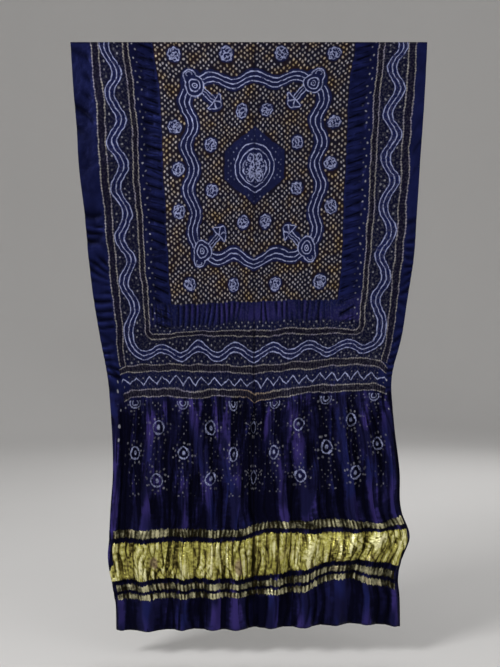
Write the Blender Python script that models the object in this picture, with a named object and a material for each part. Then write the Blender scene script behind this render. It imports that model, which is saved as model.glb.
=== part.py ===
"""Bandhani cloth: a tie-dyed silk wrap with woven gold bands, hanging flat from its top edge.

It is one woven length, so it is one solid, 2 mm thick, with its hem part of it.
The face looks along -Y. The origin is the middle of the top edge, on the centre crease.
X runs to the right as seen from the front, Z runs up. All sizes are in metres.

"Across" and "down" are places on the flat cloth. The tables say where they hang.
"""
import bpy
import numpy as np

THICKNESS = 0.002
FLAT_LEFT = 0.483            # flat width of the cloth, left of the crease
FLAT_RIGHT = 0.457           # flat width of the cloth, right of the crease
FLAT_LENGTH = 1.487          # flat length, top edge to hem
COLUMNS_EACH_SIDE = 31
ROW_PITCH = 0.044            # spacing of the mesh rows in the upper part
FOLD_ROW_PITCH = 0.032       # spacing of the mesh rows where the bands and puffs are
FOLDS_FROM = 1.20            # distance down from which the rows are closer

CLOTH_NODE = "bandhani_cloth"
NAVY = (0.030, 0.026, 0.110, 1.0)
SILK_ROUGHNESS = 0.55

# Outline: drop below the top edge, reach of the left and right selvage from the crease.
OUTLINE_COLUMNS = ("drop", "reach_left", "reach_right")
OUTLINE = (
    (0.000, 0.465, 0.439),
    (0.124, 0.457, 0.433),
    (0.220, 0.449, 0.427),
    (0.319, 0.443, 0.420),
    (0.425, 0.430, 0.413),
    (0.547, 0.419, 0.404),
    (0.653, 0.406, 0.388),
    (0.742, 0.391, 0.375),
    (0.853, 0.370, 0.349),
    (0.955, 0.362, 0.354),
    (1.089, 0.358, 0.370),
    (1.190, 0.364, 0.375),
    (1.248, 0.367, 0.394),
    (1.312, 0.370, 0.376),
    (1.350, 0.365, 0.367),
    (1.413, 0.353, 0.370),
    (1.500, 0.350, 0.371),
)

# Level lines of the cloth: how far each hangs below the top edge, at eight places across.
# A place is a share of the reach from the crease, left of it negative.
PLACES = (-1.0, -0.5, -0.06, 0.06, 0.35, 0.6, 0.85, 1.0)
LINES = {
    # name of line: (down, (drop at each place))
    "top edge": (0.000, (0.000, 0.000, 0.000, 0.000, 0.000, 0.000, 0.000, 0.000)),
    "frame top": (0.104, (0.115, 0.109, 0.105, 0.104, 0.101, 0.099, 0.096, 0.094)),
    "medallion": (0.316, (0.329, 0.322, 0.316, 0.315, 0.311, 0.307, 0.303, 0.301)),
    "frame foot": (0.523, (0.539, 0.531, 0.524, 0.523, 0.519, 0.515, 0.511, 0.508)),
    "field foot": (0.661, (0.674, 0.666, 0.658, 0.657, 0.654, 0.652, 0.648, 0.646)),
    "inner border": (0.729, (0.737, 0.744, 0.729, 0.728, 0.723, 0.724, 0.727, 0.729)),
    "outer border": (0.820, (0.833, 0.820, 0.821, 0.820, 0.812, 0.805, 0.804, 0.828)),
    "zigzag": (0.861, (0.863, 0.858, 0.865, 0.863, 0.855, 0.848, 0.846, 0.856)),
    "border foot": (0.881, (0.886, 0.881, 0.886, 0.885, 0.876, 0.869, 0.866, 0.871)),
    "first rings": (0.976, (0.975, 0.976, 0.979, 0.977, 0.965, 0.959, 0.955, 0.953)),
    "last rings": (1.108, (1.110, 1.109, 1.106, 1.104, 1.096, 1.091, 1.085, 1.081)),
    "gold strip": (1.233, (1.238, 1.234, 1.230, 1.219, 1.212, 1.208, 1.217, 1.196)),
    "gold band": (1.265, (1.270, 1.267, 1.259, 1.247, 1.243, 1.241, 1.238, 1.232)),
    "band foot": (1.365, (1.374, 1.365, 1.362, 1.359, 1.338, 1.314, 1.323, 1.334)),
    "last strip": (1.405, (1.413, 1.406, 1.398, 1.396, 1.382, 1.351, 1.371, 1.380)),
    "hem": (1.487, (1.491, 1.489, 1.486, 1.485, 1.480, 1.474, 1.477, 1.481)),
}

# Vertical folds, as ridges towards the viewer. The first three columns say where the ridge runs,
# as a share of the reach, at the ring rows, at the gold strip and at the hem.
RIDGE_HEIGHTS = (0.976, 1.220, 1.487)
RIDGE_FADE = 0.13            # length over which a fold grows from nothing
RIDGE_COLUMNS = ("at_rings", "at_strip", "at_hem", "half_width", "rise", "starts")
RIDGES = (
    (-0.970, -0.970, -0.960, 0.014, 0.011, 0.70),
    (-0.710, -0.760, -0.770, 0.026, 0.025, 0.84),
    (-0.540, -0.470, -0.520, 0.016, 0.016, 1.00),
    (-0.410, -0.285, -0.300, 0.021, 0.021, 0.84),
    (-0.225, -0.095, -0.130, 0.026, 0.025, 0.82),
    (0.105, 0.210, 0.120, 0.018, 0.017, 0.84),
    (0.275, 0.365, 0.340, 0.026, 0.025, 0.82),
    (0.610, 0.665, 0.560, 0.025, 0.023, 0.84),
    (0.785, 0.820, 0.770, 0.019, 0.018, 0.88),
    (0.950, 0.970, 0.960, 0.014, 0.012, 0.76),
)

# Broad soft swells of the cloth: place and size on the hanging sheet. Forward is towards the viewer.
SWELL_COLUMNS = ("x", "drop", "half_width", "half_height", "forward")
SWELLS = (
    (0.000, 0.320, 0.190, 0.230, 0.007),
    (-0.280, 0.330, 0.030, 0.260, -0.004),
    (0.270, 0.330, 0.030, 0.260, -0.004),
    (0.400, 0.560, 0.050, 0.120, 0.006),
    (-0.400, 0.300, 0.050, 0.160, 0.005),
    (0.215, 1.282, 0.075, 0.045, 0.016),
    (-0.180, 1.320, 0.110, 0.050, 0.007),
    (0.385, 1.255, 0.025, 0.030, 0.008),
)

CREASE_DEPTH = 0.005
CREASE_HALF_WIDTH = 0.009
CREASE_FROM = 0.66
CREASE_DIP = 0.012           # how far the border's lines dip at the crease
CREASE_DIP_AT = 0.885        # where that dip is greatest
CREASE_DIP_HALF_LENGTH = 0.06
HANG_BACK = 0.010            # the lower cloth hangs this far behind the top edge's plane
HANG_BACK_FROM = 0.70
HANG_BACK_LENGTH = 0.40
HELD_FLAT = 0.05             # the top edge is held flat, and the swells grow over this length


def curve_through(knots, values, at):
    """Smooth curve through the values given at the knots, read at other places."""
    knots, values, at = np.asarray(knots), np.asarray(values), np.asarray(at)
    gaps = np.diff(knots)
    steps = np.diff(values) / gaps
    middle = (steps[:-1] * gaps[1:] + steps[1:] * gaps[:-1]) / (gaps[:-1] + gaps[1:])
    slopes = np.concatenate((steps[:1], middle, steps[-1:]))
    span = np.clip(np.searchsorted(knots, at, side="right") - 1, 0, len(gaps) - 1)
    part = (at - knots[span]) / gaps[span]
    rise = values[span + 1] - values[span]
    bend_in = slopes[span] * gaps[span] - rise
    bend_out = rise - slopes[span + 1] * gaps[span]
    return values[span] + rise * part + part * (1 - part) * (bend_in * (1 - part) + bend_out * part)


def fade_in(value, start, length):
    """0 before start, 1 after start + length, and smooth between."""
    part = np.clip((value - start) / length, 0, 1)
    return part * part * (3 - 2 * part)


def bump(distance, half_width):
    """Rounded ridge of height 1."""
    return np.exp(-(distance / half_width) ** 2)


def hanging_drops(places, down):
    """Drop of the cloth at each place (columns) and distance down (rows)."""
    level_down = [line[0] for line in LINES.values()]
    level_drops = np.array([line[1] for line in LINES.values()])
    at_places = np.array([curve_through(level_down, column, down) for column in level_drops.T])
    return np.array([curve_through(PLACES, row, places) for row in at_places.T])


def hang(across, down):
    """Hanging position of the flat cloth's grid: three arrays, rows down by columns across."""
    places = np.where(across < 0, across / FLAT_LEFT, across / FLAT_RIGHT)
    drops = hanging_drops(places, down)
    outline = dict(zip(OUTLINE_COLUMNS, np.array(OUTLINE).T))
    left = curve_through(outline["drop"], outline["reach_left"], drops)
    right = curve_through(outline["drop"], outline["reach_right"], drops)
    x = np.where(places < 0, places * left, places * right)

    rows = down[:, np.newaxis]
    dip = bump(rows - CREASE_DIP_AT, CREASE_DIP_HALF_LENGTH)
    drops = drops + CREASE_DIP * dip * bump(x, CREASE_HALF_WIDTH)

    forward = np.zeros_like(x)
    for row in RIDGES:
        ridge = dict(zip(RIDGE_COLUMNS, row))
        course = (ridge["at_rings"], ridge["at_strip"], ridge["at_hem"])
        place = curve_through(RIDGE_HEIGHTS, course, np.maximum(rows, RIDGE_HEIGHTS[0]))
        ridge_x = np.where(place < 0, place * left, place * right)
        growth = fade_in(rows, ridge["starts"], RIDGE_FADE)
        forward += ridge["rise"] * growth * bump(x - ridge_x, ridge["half_width"])
    for row in SWELLS:
        swell = dict(zip(SWELL_COLUMNS, row))
        spread = bump(x - swell["x"], swell["half_width"])
        forward += swell["forward"] * spread * bump(drops - swell["drop"], swell["half_height"])
    forward -= CREASE_DEPTH * fade_in(rows, CREASE_FROM, RIDGE_FADE) * bump(x, CREASE_HALF_WIDTH)
    forward *= fade_in(rows, 0, HELD_FLAT)
    back = HANG_BACK * fade_in(rows, HANG_BACK_FROM, HANG_BACK_LENGTH)
    return x, back - forward, -drops


def flat_grid():
    """Mesh columns across and mesh rows down the flat cloth."""
    left = np.linspace(-FLAT_LEFT, 0, COLUMNS_EACH_SIDE + 1)
    right = np.linspace(0, FLAT_RIGHT, COLUMNS_EACH_SIDE + 1)
    upper = np.linspace(0, FOLDS_FROM, round(FOLDS_FROM / ROW_PITCH) + 1)
    lower_rows = round((FLAT_LENGTH - FOLDS_FROM) / FOLD_ROW_PITCH)
    lower = np.linspace(FOLDS_FROM, FLAT_LENGTH, lower_rows + 1)
    return np.concatenate((left, right[1:])), np.concatenate((upper, lower[1:]))


def silk_material():
    """Navy silk."""
    material = bpy.data.materials.new("silk")
    material.use_nodes = True
    shader = material.node_tree.nodes["Principled BSDF"]
    shader.inputs["Base Color"].default_value = NAVY
    shader.inputs["Roughness"].default_value = SILK_ROUGHNESS
    return material


def build_cloth():
    """The whole cloth: a hanging grid, thickened to both sides."""
    across, down = flat_grid()
    points = np.stack(hang(across, down), axis=-1).reshape(-1, 3)
    columns = len(across)
    faces = []
    for row in range(len(down) - 1):
        for column in range(columns - 1):
            corner = row * columns + column
            faces.append((corner, corner + columns, corner + columns + 1, corner + 1))
    mesh = bpy.data.meshes.new(CLOTH_NODE)
    mesh.from_pydata(points.tolist(), [], faces)
    mesh.shade_smooth()
    mesh.materials.append(silk_material())
    cloth = bpy.data.objects.new(CLOTH_NODE, mesh)
    bpy.context.scene.collection.objects.link(cloth)
    body = cloth.modifiers.new("Thickness", "SOLIDIFY")
    body.thickness = THICKNESS
    body.offset = 0
    return cloth


def main():
    for leftover in list(bpy.data.objects):
        bpy.data.objects.remove(leftover, do_unlink=True)
    build_cloth()


main()
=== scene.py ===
"""Bandhani cloth: the looks of a tie-dyed silk wrap that hangs flat from its top edge.

The cloth is one fine sheet on the folds of its solid, with its turned hems.
Its dyed pattern, its woven gold bands and the painted light and shade of their folds and creases are drawn by
shader nodes in flat-cloth sizes:
"Across" is the distance from the centre crease and "Down" the distance from the top edge, in metres.
"""
import math

import bmesh
import bpy
import numpy as np
from bpy.props import FloatProperty, FloatVectorProperty, IntProperty, PointerProperty
from bpy.types import Operator, Panel, PropertyGroup
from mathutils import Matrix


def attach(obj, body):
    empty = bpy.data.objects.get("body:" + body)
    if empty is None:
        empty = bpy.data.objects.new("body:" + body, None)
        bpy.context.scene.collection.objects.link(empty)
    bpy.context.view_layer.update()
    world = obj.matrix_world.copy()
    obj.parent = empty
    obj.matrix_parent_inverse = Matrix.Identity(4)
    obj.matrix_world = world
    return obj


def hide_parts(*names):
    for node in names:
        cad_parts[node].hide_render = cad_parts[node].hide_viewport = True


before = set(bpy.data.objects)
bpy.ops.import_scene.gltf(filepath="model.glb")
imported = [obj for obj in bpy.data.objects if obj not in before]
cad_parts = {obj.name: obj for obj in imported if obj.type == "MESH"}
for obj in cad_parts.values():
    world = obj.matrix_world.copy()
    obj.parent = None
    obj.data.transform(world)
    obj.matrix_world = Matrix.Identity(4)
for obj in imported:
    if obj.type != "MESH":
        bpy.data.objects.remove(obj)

bl_info = {
    "name": "Bandhani cloth",
    "version": (1, 0, 0),
    "blender": (4, 5, 0),
    "location": "3D View > Sidebar > Bandhani",
    "description": "Hangs a tie-dyed silk cloth with gold bands and sets a plain studio round it",
    "category": "Object",
}

CLOTH_NODE = "bandhani_cloth"
FLAT_MAP = "FlatCloth"       # flat-cloth place of each point, in metres
BAKE_MAP = "OFBake"          # the same sheet laid out over the unit square
CREASE_SHADE = "crease_shade"            # how deep a point lies in the fine creases, 0 to 1: the shade painted there
LIT = "lit"                  # painted light and shade, 0 in the troughs of the folds, 1 on their ridges

FLAT_LEFT = 0.483            # flat width of the cloth, left of the crease
FLAT_RIGHT = 0.457           # flat width of the cloth, right of the crease
FLAT_LENGTH = 1.487          # flat length, top edge to hem

# ----------------------------------------------------------------------------------------------
# The hanging shape, as in the solid
# ----------------------------------------------------------------------------------------------

# Outline: drop below the top edge, reach of the left and right selvage from the crease.
OUTLINE_COLUMNS = ("drop", "reach_left", "reach_right")
OUTLINE = (
    (0.000, 0.465, 0.439),
    (0.124, 0.457, 0.433),
    (0.220, 0.449, 0.427),
    (0.319, 0.443, 0.420),
    (0.425, 0.430, 0.413),
    (0.547, 0.419, 0.404),
    (0.653, 0.406, 0.388),
    (0.742, 0.391, 0.375),
    (0.853, 0.370, 0.349),
    (0.955, 0.362, 0.354),
    (1.089, 0.358, 0.370),
    (1.190, 0.364, 0.375),
    (1.248, 0.367, 0.394),
    (1.312, 0.370, 0.376),
    (1.350, 0.365, 0.367),
    (1.413, 0.353, 0.370),
    (1.500, 0.350, 0.371),
)

# Level lines of the cloth: how far each hangs below the top edge, at eight places across.
# A place is a share of the reach from the crease, left of it negative.
PLACES = (-1.0, -0.5, -0.06, 0.06, 0.35, 0.6, 0.85, 1.0)
LINES = {
    # name of line: (down, (drop at each place))
    "top edge": (0.000, (0.000, 0.000, 0.000, 0.000, 0.000, 0.000, 0.000, 0.000)),
    "frame top": (0.104, (0.115, 0.109, 0.105, 0.104, 0.101, 0.099, 0.096, 0.094)),
    "medallion": (0.316, (0.329, 0.322, 0.316, 0.315, 0.311, 0.307, 0.303, 0.301)),
    "frame foot": (0.523, (0.539, 0.531, 0.524, 0.523, 0.519, 0.515, 0.511, 0.508)),
    "field foot": (0.661, (0.674, 0.666, 0.658, 0.657, 0.654, 0.652, 0.648, 0.646)),
    "inner border": (0.729, (0.737, 0.744, 0.729, 0.728, 0.723, 0.724, 0.727, 0.729)),
    "outer border": (0.820, (0.833, 0.820, 0.821, 0.820, 0.812, 0.805, 0.804, 0.828)),
    "zigzag": (0.861, (0.863, 0.858, 0.865, 0.863, 0.855, 0.848, 0.846, 0.856)),
    "border foot": (0.881, (0.886, 0.881, 0.886, 0.885, 0.876, 0.869, 0.866, 0.871)),
    "first rings": (0.976, (0.975, 0.976, 0.979, 0.977, 0.965, 0.959, 0.955, 0.953)),
    "last rings": (1.108, (1.110, 1.109, 1.106, 1.104, 1.096, 1.091, 1.085, 1.081)),
    "gold strip": (1.233, (1.238, 1.234, 1.230, 1.219, 1.212, 1.208, 1.217, 1.196)),
    "gold band": (1.265, (1.270, 1.267, 1.259, 1.247, 1.243, 1.241, 1.238, 1.232)),
    "band foot": (1.365, (1.374, 1.365, 1.362, 1.359, 1.338, 1.314, 1.323, 1.334)),
    "last strip": (1.405, (1.413, 1.406, 1.398, 1.396, 1.382, 1.351, 1.371, 1.380)),
    "hem": (1.487, (1.491, 1.489, 1.486, 1.485, 1.480, 1.474, 1.477, 1.481)),
}

# Vertical folds, as ridges towards the viewer. The first three columns say where the ridge runs,
# as a share of the reach, at the ring rows, at the gold strip and at the hem.
RIDGE_HEIGHTS = (0.976, 1.220, 1.487)
RIDGE_FADE = 0.13            # length over which a fold grows from nothing
RIDGE_COLUMNS = ("at_rings", "at_strip", "at_hem", "half_width", "rise", "starts")
RIDGES = (
    (-0.970, -0.970, -0.960, 0.014, 0.011, 0.70),
    (-0.710, -0.760, -0.770, 0.026, 0.025, 0.84),
    (-0.540, -0.470, -0.520, 0.016, 0.016, 1.00),
    (-0.410, -0.285, -0.300, 0.021, 0.021, 0.84),
    (-0.225, -0.095, -0.130, 0.026, 0.025, 0.82),
    (0.105, 0.210, 0.120, 0.018, 0.017, 0.84),
    (0.275, 0.365, 0.340, 0.026, 0.025, 0.82),
    (0.610, 0.665, 0.560, 0.025, 0.023, 0.84),
    (0.785, 0.820, 0.770, 0.019, 0.018, 0.88),
    (0.950, 0.970, 0.960, 0.014, 0.012, 0.76),
)

# Broad soft swells of the cloth: place and size on the hanging sheet. Forward is towards the viewer.
SWELL_COLUMNS = ("x", "drop", "half_width", "half_height", "forward")
SWELLS = (
    (0.000, 0.320, 0.190, 0.230, 0.007),
    (-0.280, 0.330, 0.030, 0.260, -0.004),
    (0.270, 0.330, 0.030, 0.260, -0.004),
    (0.400, 0.560, 0.050, 0.120, 0.006),
    (-0.400, 0.300, 0.050, 0.160, 0.005),
    (0.215, 1.282, 0.075, 0.045, 0.016),
    (-0.180, 1.320, 0.110, 0.050, 0.007),
    (0.385, 1.255, 0.025, 0.030, 0.008),
)

CREASE_DEPTH = 0.005
CREASE_HALF_WIDTH = 0.009
CREASE_FROM = 0.66
# Half width of the painted shade along the centre crease.
CREASE_DARK_HALF_WIDTH = 0.0032
CREASE_DIP = 0.012           # how far the border's lines dip at the crease
CREASE_DIP_AT = 0.885        # where that dip is greatest
CREASE_DIP_HALF_LENGTH = 0.06
HANG_BACK = 0.010            # the lower cloth hangs this far behind the top edge's plane
HANG_BACK_FROM = 0.70
HANG_BACK_LENGTH = 0.40
HELD_FLAT = 0.05             # the top edge is held flat, and the swells grow over this length

# Inside the outline the tied field is drawn in a little towards the crease.
DRAW_IN = 0.033              # greatest shift, as a share of the reach
DRAW_IN_FROM = -0.02
DRAW_IN_GROWTH = 0.19
DRAW_IN_ENDS = 0.66
DRAW_IN_FADE = 0.16

# ----------------------------------------------------------------------------------------------
# Fine creases and soft lumps, in metres, and the part of the cloth that they cover: how far from the
# crease they start and end, and how far down
# ----------------------------------------------------------------------------------------------

# The dark column is the painted shade in each crease, and the light column the painted light and shade of the
# rounds between them.
CREASE_COLUMNS = (
    "depth", "dark", "light", "width", "pitch", "run", "wander",
    "slant", "inner", "outer", "top", "foot", "fade",
)
LEVEL_CREASES = {
    # across the cloth; the width is a share of half the pitch
    "side ruching": (0.0036, 0.30, 0.10, 0.46, 0.0250, 0.090, 0.50, 0.10, 0.263, 0.316, -0.10, 0.725, 0.014),
    "edge creases": (0.0028, 0.80, 0.04, 0.30, 0.0620, 0.080, 1.20, 0.55, 0.437, 0.600, -0.10, 0.860, 0.010),
    "edge puffs": (0.0030, 0.85, 0.26, 0.36, 0.0230, 0.060, 0.90, 0.30, 0.435, 0.600, 0.450, 0.900, 0.010),
    "gold wrinkles": (0.0012, 0.35, 0.05, 0.40, 0.0150, 0.012, 1.00, 0.00, -0.10, 0.600, 1.270, 1.358, 0.006),
}
UPRIGHT_CREASES = {
    # down the cloth
    "gathers": (0.0028, 0.75, 0.20, 0.42, 0.0160, 0.060, 0.80, 0.00, -0.10, 0.330, 0.662, 0.716, 0.012),
    "fine gathers": (0.0010, 0.28, 0.04, 0.42, 0.0090, 0.050, 0.60, 0.00, -0.10, 0.330, 0.655, 0.730, 0.012),
    "border tucks": (0.0011, 0.34, 0.05, 0.42, 0.0090, 0.050, 0.60, 0.00, -0.10, 0.440, 0.722, 0.900, 0.010),
    "ring gathers": (0.0014, 0.50, 0.05, 0.42, 0.0105, 0.040, 0.70, 0.00, -0.10, 0.440, 0.897, 0.950, 0.014),
    "lower streaks": (0.0026, 0.70, 0.14, 0.26, 0.0260, 0.130, 1.00, 0.00, -0.10, 0.600, 0.895, 1.232, 0.030),
    "fine streaks": (0.0012, 0.50, 0.08, 0.32, 0.0120, 0.070, 1.00, 0.00, -0.10, 0.600, 0.895, 1.232, 0.030),
    "hem streaks": (0.0024, 0.70, 0.14, 0.26, 0.0300, 0.090, 0.90, 0.00, -0.10, 0.600, 1.412, 1.600, 0.010),
    "strip pleats": (0.0030, 0.75, 0.12, 0.42, 0.0120, 0.030, 0.50, 0.00, -0.10, 0.600, 1.230, 1.260, 0.004),
    "band pleats": (0.0048, 1.00, 0.09, 0.17, 0.0210, 0.040, 0.95, 0.00, -0.10, 0.600, 1.262, 1.368, 0.006),
    "band crinkles": (0.0024, 0.75, 0.06, 0.20, 0.0330, 0.022, 1.20, 0.00, -0.10, 0.600, 1.262, 1.368, 0.006),
    "foot pleats": (0.0030, 0.80, 0.12, 0.42, 0.0125, 0.030, 0.50, 0.00, -0.10, 0.600, 1.366, 1.412, 0.004),
}
RUCHED_SHADE = 0.04          # how much darker the ruched band is painted beside the field: painted shade

LUMP_COLUMNS = ("height", "light", "wide", "tall", "top", "foot", "fade")
LUMPS = {
    # soft waves of the cloth, and how much lighter their crests are painted: painted light
    "broad waves": (0.0012, 0.06, 0.070, 0.090, -0.10, 0.900, 0.060),
    "field cockle": (0.0011, 0.06, 0.026, 0.026, -0.10, 0.680, 0.040),
    "tied pucker": (0.0005, 0.04, 0.009, 0.009, -0.10, 0.900, 0.020),
    "lower folds": (0.0046, 0.16, 0.030, 0.200, 0.880, 1.232, 0.060),
    "lower pleats": (0.0022, 0.10, 0.013, 0.120, 0.900, 1.232, 0.050),
    "hem folds": (0.0040, 0.16, 0.032, 0.120, 1.410, 1.600, 0.010),
    "gold folds": (0.0040, 0.16, 0.034, 0.080, 1.230, 1.412, 0.006),
    "gold pleats": (0.0030, 0.12, 0.0110, 0.035, 1.230, 1.412, 0.006),
}

# Places where the cloth is painted lighter or darker than its folds alone make it: painted light and shade.
TONE_COLUMNS = ("across", "down", "half_width", "half_height", "lighter")
TONES = (
    (-0.470, 0.240, 0.045, 0.330, -0.16),
    (0.380, 0.330, 0.060, 0.420, 0.06),
    (0.300, 0.420, 0.050, 0.330, 0.20),
    (0.230, 1.310, 0.230, 0.055, 0.05),
    (-0.149, 1.310, 0.022, 0.050, 0.10),
    (-0.278, 1.310, 0.011, 0.060, -0.24),
    (0.192, 1.290, 0.010, 0.045, 0.14),
    (0.376, 1.300, 0.012, 0.035, 0.14),
    (0.237, 1.310, 0.007, 0.050, -0.22),
    (0.000, 0.690, 0.300, 0.025, 0.05),
    (-0.478, 1.140, 0.016, 0.120, -0.34),
    (-0.420, 1.243, 0.011, 0.010, -0.34),
    (-0.264, 1.243, 0.015, 0.010, -0.22),
    (0.030, 1.243, 0.026, 0.010, -0.16),
    (-0.264, 1.392, 0.007, 0.018, -0.34),
    (-0.455, 1.392, 0.016, 0.018, -0.22),
    (0.002, 1.320, 0.0070, 0.085, -0.42),
    (-0.016, 1.310, 0.0060, 0.045, 0.22),
    (-0.041, 1.130, 0.012, 0.085, 0.14),
    (-0.120, 1.160, 0.012, 0.050, 0.10),
    (-0.164, 1.030, 0.012, 0.030, 0.12),
    (0.073, 1.100, 0.012, 0.100, -0.11),
    (0.188, 1.110, 0.014, 0.060, 0.12),
    (0.230, 1.030, 0.012, 0.030, -0.14),
    (0.331, 1.190, 0.010, 0.030, 0.18),
    (0.404, 1.190, 0.010, 0.030, 0.22),
    (0.384, 1.030, 0.010, 0.030, 0.12),
    (-0.080, 1.305, 0.016, 0.045, 0.12),
    (0.115, 1.330, 0.014, 0.030, 0.12),
    (0.090, 1.300, 0.010, 0.045, -0.10),
    (-0.187, 1.450, 0.020, 0.030, 0.10),
    (0.056, 1.450, 0.020, 0.030, 0.10),
)

BAND_SINK = 0.0022           # how far the navy gaps lie behind the gold bands
BAND_LIGHT = 0.54            # painted light of the wide gold band on the whole
STRIP_LIGHT = 0.45           # painted light of the narrow gold strips
BAND_FOLD_SHARE = 0.16       # how much of the big folds' painted light and shade shows on the gold

HEM_TURN = 0.014             # depth of the turned hems at top and foot
HEM_ROWS = 3
HEM_BACK = 0.0016            # how far a turned hem lies behind the cloth

# ----------------------------------------------------------------------------------------------
# The dyed pattern, in flat-cloth metres
# ----------------------------------------------------------------------------------------------

DYE_EDGE = 0.0010            # softness of a dyed edge

# The tied lines wander from their drawn places: where, how far round it, and how far to the right
# and lower.
DRIFT_COLUMNS = ("across", "down", "half_width", "half_height", "to_right", "lower")
DRIFTS = (
    (-0.205, 0.738, 0.085, 0.026, 0.000, -0.016),
    (0.405, 0.230, 0.070, 0.110, -0.002, 0.005),
    (0.395, 0.560, 0.080, 0.110, -0.003, 0.014),
    (0.000, 0.319, 0.080, 0.080, 0.0035, 0.002),
    (0.200, 1.050, 0.260, 0.110, -0.005, 0.000),
    (0.050, 1.045, 0.050, 0.060, -0.003, 0.000),
    (-0.340, 0.780, 0.100, 0.045, -0.007, -0.009),
    (-0.160, 0.790, 0.080, 0.030, 0.000, -0.005),
    (-0.430, 0.800, 0.045, 0.070, -0.005, -0.007),
    (0.000, 0.862, 0.014, 0.030, 0.000, -0.007),
    (0.035, 0.888, 0.045, 0.026, 0.000, 0.008),
    (-0.205, 0.887, 0.060, 0.020, 0.000, 0.008),
    (-0.105, 0.887, 0.050, 0.020, 0.000, -0.007),
    (-0.370, 1.090, 0.080, 0.075, -0.015, 0.000),
    (-0.420, 1.390, 0.170, 0.040, 0.000, -0.006),
    (0.000, 0.550, 0.095, 0.035, 0.000, 0.006),
)

FIELD_SIDE = 0.267
FIELD_FOOT = 0.660

# Lattices of tied dots: pitch across, pitch down, dot width, dot height.
FIELD_DOTS = (0.0164, 0.0143, 0.0050, 0.0059)
PANEL_DOTS = (0.0180, 0.0165, 0.0044, 0.0048)
SIDE_BEADS = (0.0150, 0.0330, 0.0046, 0.0050)
FOOT_BEADS = (0.0200, 0.0170, 0.0048, 0.0048)
FILLER_DOTS = (0.0200, 0.0180, 0.0050, 0.0054)
STRAY_DOTS = (0.0190, 0.0180, 0.0040, 0.0044)

FRAME_MIDDLE = 0.3155        # distance down of the field's middle line
FRAME_SIDE = 0.1905
FRAME_HALF_HEIGHT = 0.2205
FRAME_SWING = 0.0100
FRAME_FOOT_DROP = 0.0125     # how much lower the frame's foot hangs at the centre
FRAME_FOOT_SLOPE = 0.100     # and how fast that lessens to the sides
FRAME_NARROWER = 0.0100      # how much narrower the frame is near its foot
FRAME_NARROWS_FROM = 0.455
CORNER_FOOT_SHIFT = 0.0065   # how much nearer the centre its lower corners are
FRAME_PERIOD_ACROSS = 0.1195
FRAME_PERIOD_DOWN = 0.1110
FRAME_CORNER_ACROSS = 0.170
FRAME_CORNER_UP = 0.2105
LINE_GAP = 0.0122
UPRIGHT_GAP = 0.0135
LINE_WIDTH = 0.0030

# The corner flower: an egg on the frame's corner, and a flower on a stem towards the middle.
EGG_TURN = 52                # degrees from level to the egg's long axis
EGG = (0.0275, 0.0250)       # half length and half width of its rim, its ring and its eye
EGG_RING = (0.0165, 0.0150)
EGG_EYE = (0.0066, 0.0062)
EGG_TIP = (0.0175, 0.0195)
TIP_RING = (0.0080, 0.0060)
FLOWER_ACROSS = 0.1190
FLOWER_UP = 0.1690
FLOWER_REACH = 0.0195        # half the side of the square that cuts the petals' points
PETAL_TURNS = (-63, 0, 63)
PETAL_LENGTH = 0.0240
STEM_MIDDLE = 0.0210
STEM_HALF_LENGTH = 0.0200
STEM_HALF_WIDTH = 0.0074
CORNER_CLEARANCES = (
    # where no dots are tied: across, above or below the middle line, radius
    (FRAME_CORNER_ACROSS + 0.004, FRAME_CORNER_UP + 0.006, 0.032),
    (0.115, 0.163, 0.020),
    (0.137, 0.180, 0.012),
)

ROSETTES = (
    # across, above or below the middle line
    (0.0360, 0.1410),
    (0.1300, 0.0580),
    (0.2310, 0.1065),
    (0.2250, 0.0000),
)
TOP_ROSETTES = ((0.0735, 0.2855), (0.2140, 0.2860))
FOOT_ROSETTES = ((0.0685, 0.3000), (0.2055, 0.2970))
ROSETTE_RADIUS = 0.0190
ROSETTE_POINTS = 8

MEDALLION_DOWN = 0.3190
PANEL_DOWN = 0.3130
MEDALLION_HALF_WIDTH = 0.0595
MEDALLION_HALF_HEIGHT = 0.0615
PALE_HEART = (0.0280, 0.0360)  # half width and half height of its paler middle
SPRIGS = (
    # across, below the medallion's middle, half width, half height
    (0.0120, -0.0270, 0.0080, 0.0085),
    (0.0080, -0.0095, 0.0048, 0.0068),
    (0.0105, 0.0055, 0.0070, 0.0052),
    (0.0135, 0.0225, 0.0112, 0.0112),
    (0.0120, 0.0205, 0.0042, 0.0048),
)
PANEL_HALF_WIDTH = 0.0900
PANEL_HALF_HEIGHT = 0.0970
PANEL_UPRIGHT = 0.0340

INNER_LINES = (0.3325, 0.3465)
OUTER_LINES = (0.4110, 0.4300)
INNER_FOOT_LINES = (0.7300, 0.7445)
INNER_CORNER = 0.024
OUTER_FOOT_LINES = (0.8185, 0.8350)
LAST_LINES = (0.8785, 0.8955)
LAST_LINES_END = 0.436
LINE_END_DIP_FROM = 0.425
LINE_END_DIP = 0.011
LOW_LINES_FROM = 0.70        # below this line the paired lines are fainter and the wave is whiter
BEAD_PITCH = 0.0078          # small dots that run into the paired lines
BEAD_RADIUS = 0.0021
STITCH_PITCH = 0.0084
BEADS_ACROSS = 0.3145
BEADS_FOOT = 0.7170
BEADED_FROM = 0.708          # distance down of the dark ground under the beads
STRIP_FADES_FROM = 0.815     # the dark strip is fainter below this line

WAVE_SIDE = 0.3830
WAVE_FOOT = 0.7850
WAVE_CORNER = 0.058
WAVE_SWING = 0.0125
WAVE_PERIOD = 0.1184
WAVE_SIDE_START = 0.0670     # distance down of the first inward crest
WAVE_SIDE_END = 0.7190       # distance down of the last outward crest
WAVE_FOOT_END = 0.3555       # distance across of the last outward crest

ZIGZAG_DOWN = 0.8590
ZIGZAG_SWING = 0.0090
ZIGZAG_PERIOD = 0.0430
ZIGZAG_END = 0.438

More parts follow.
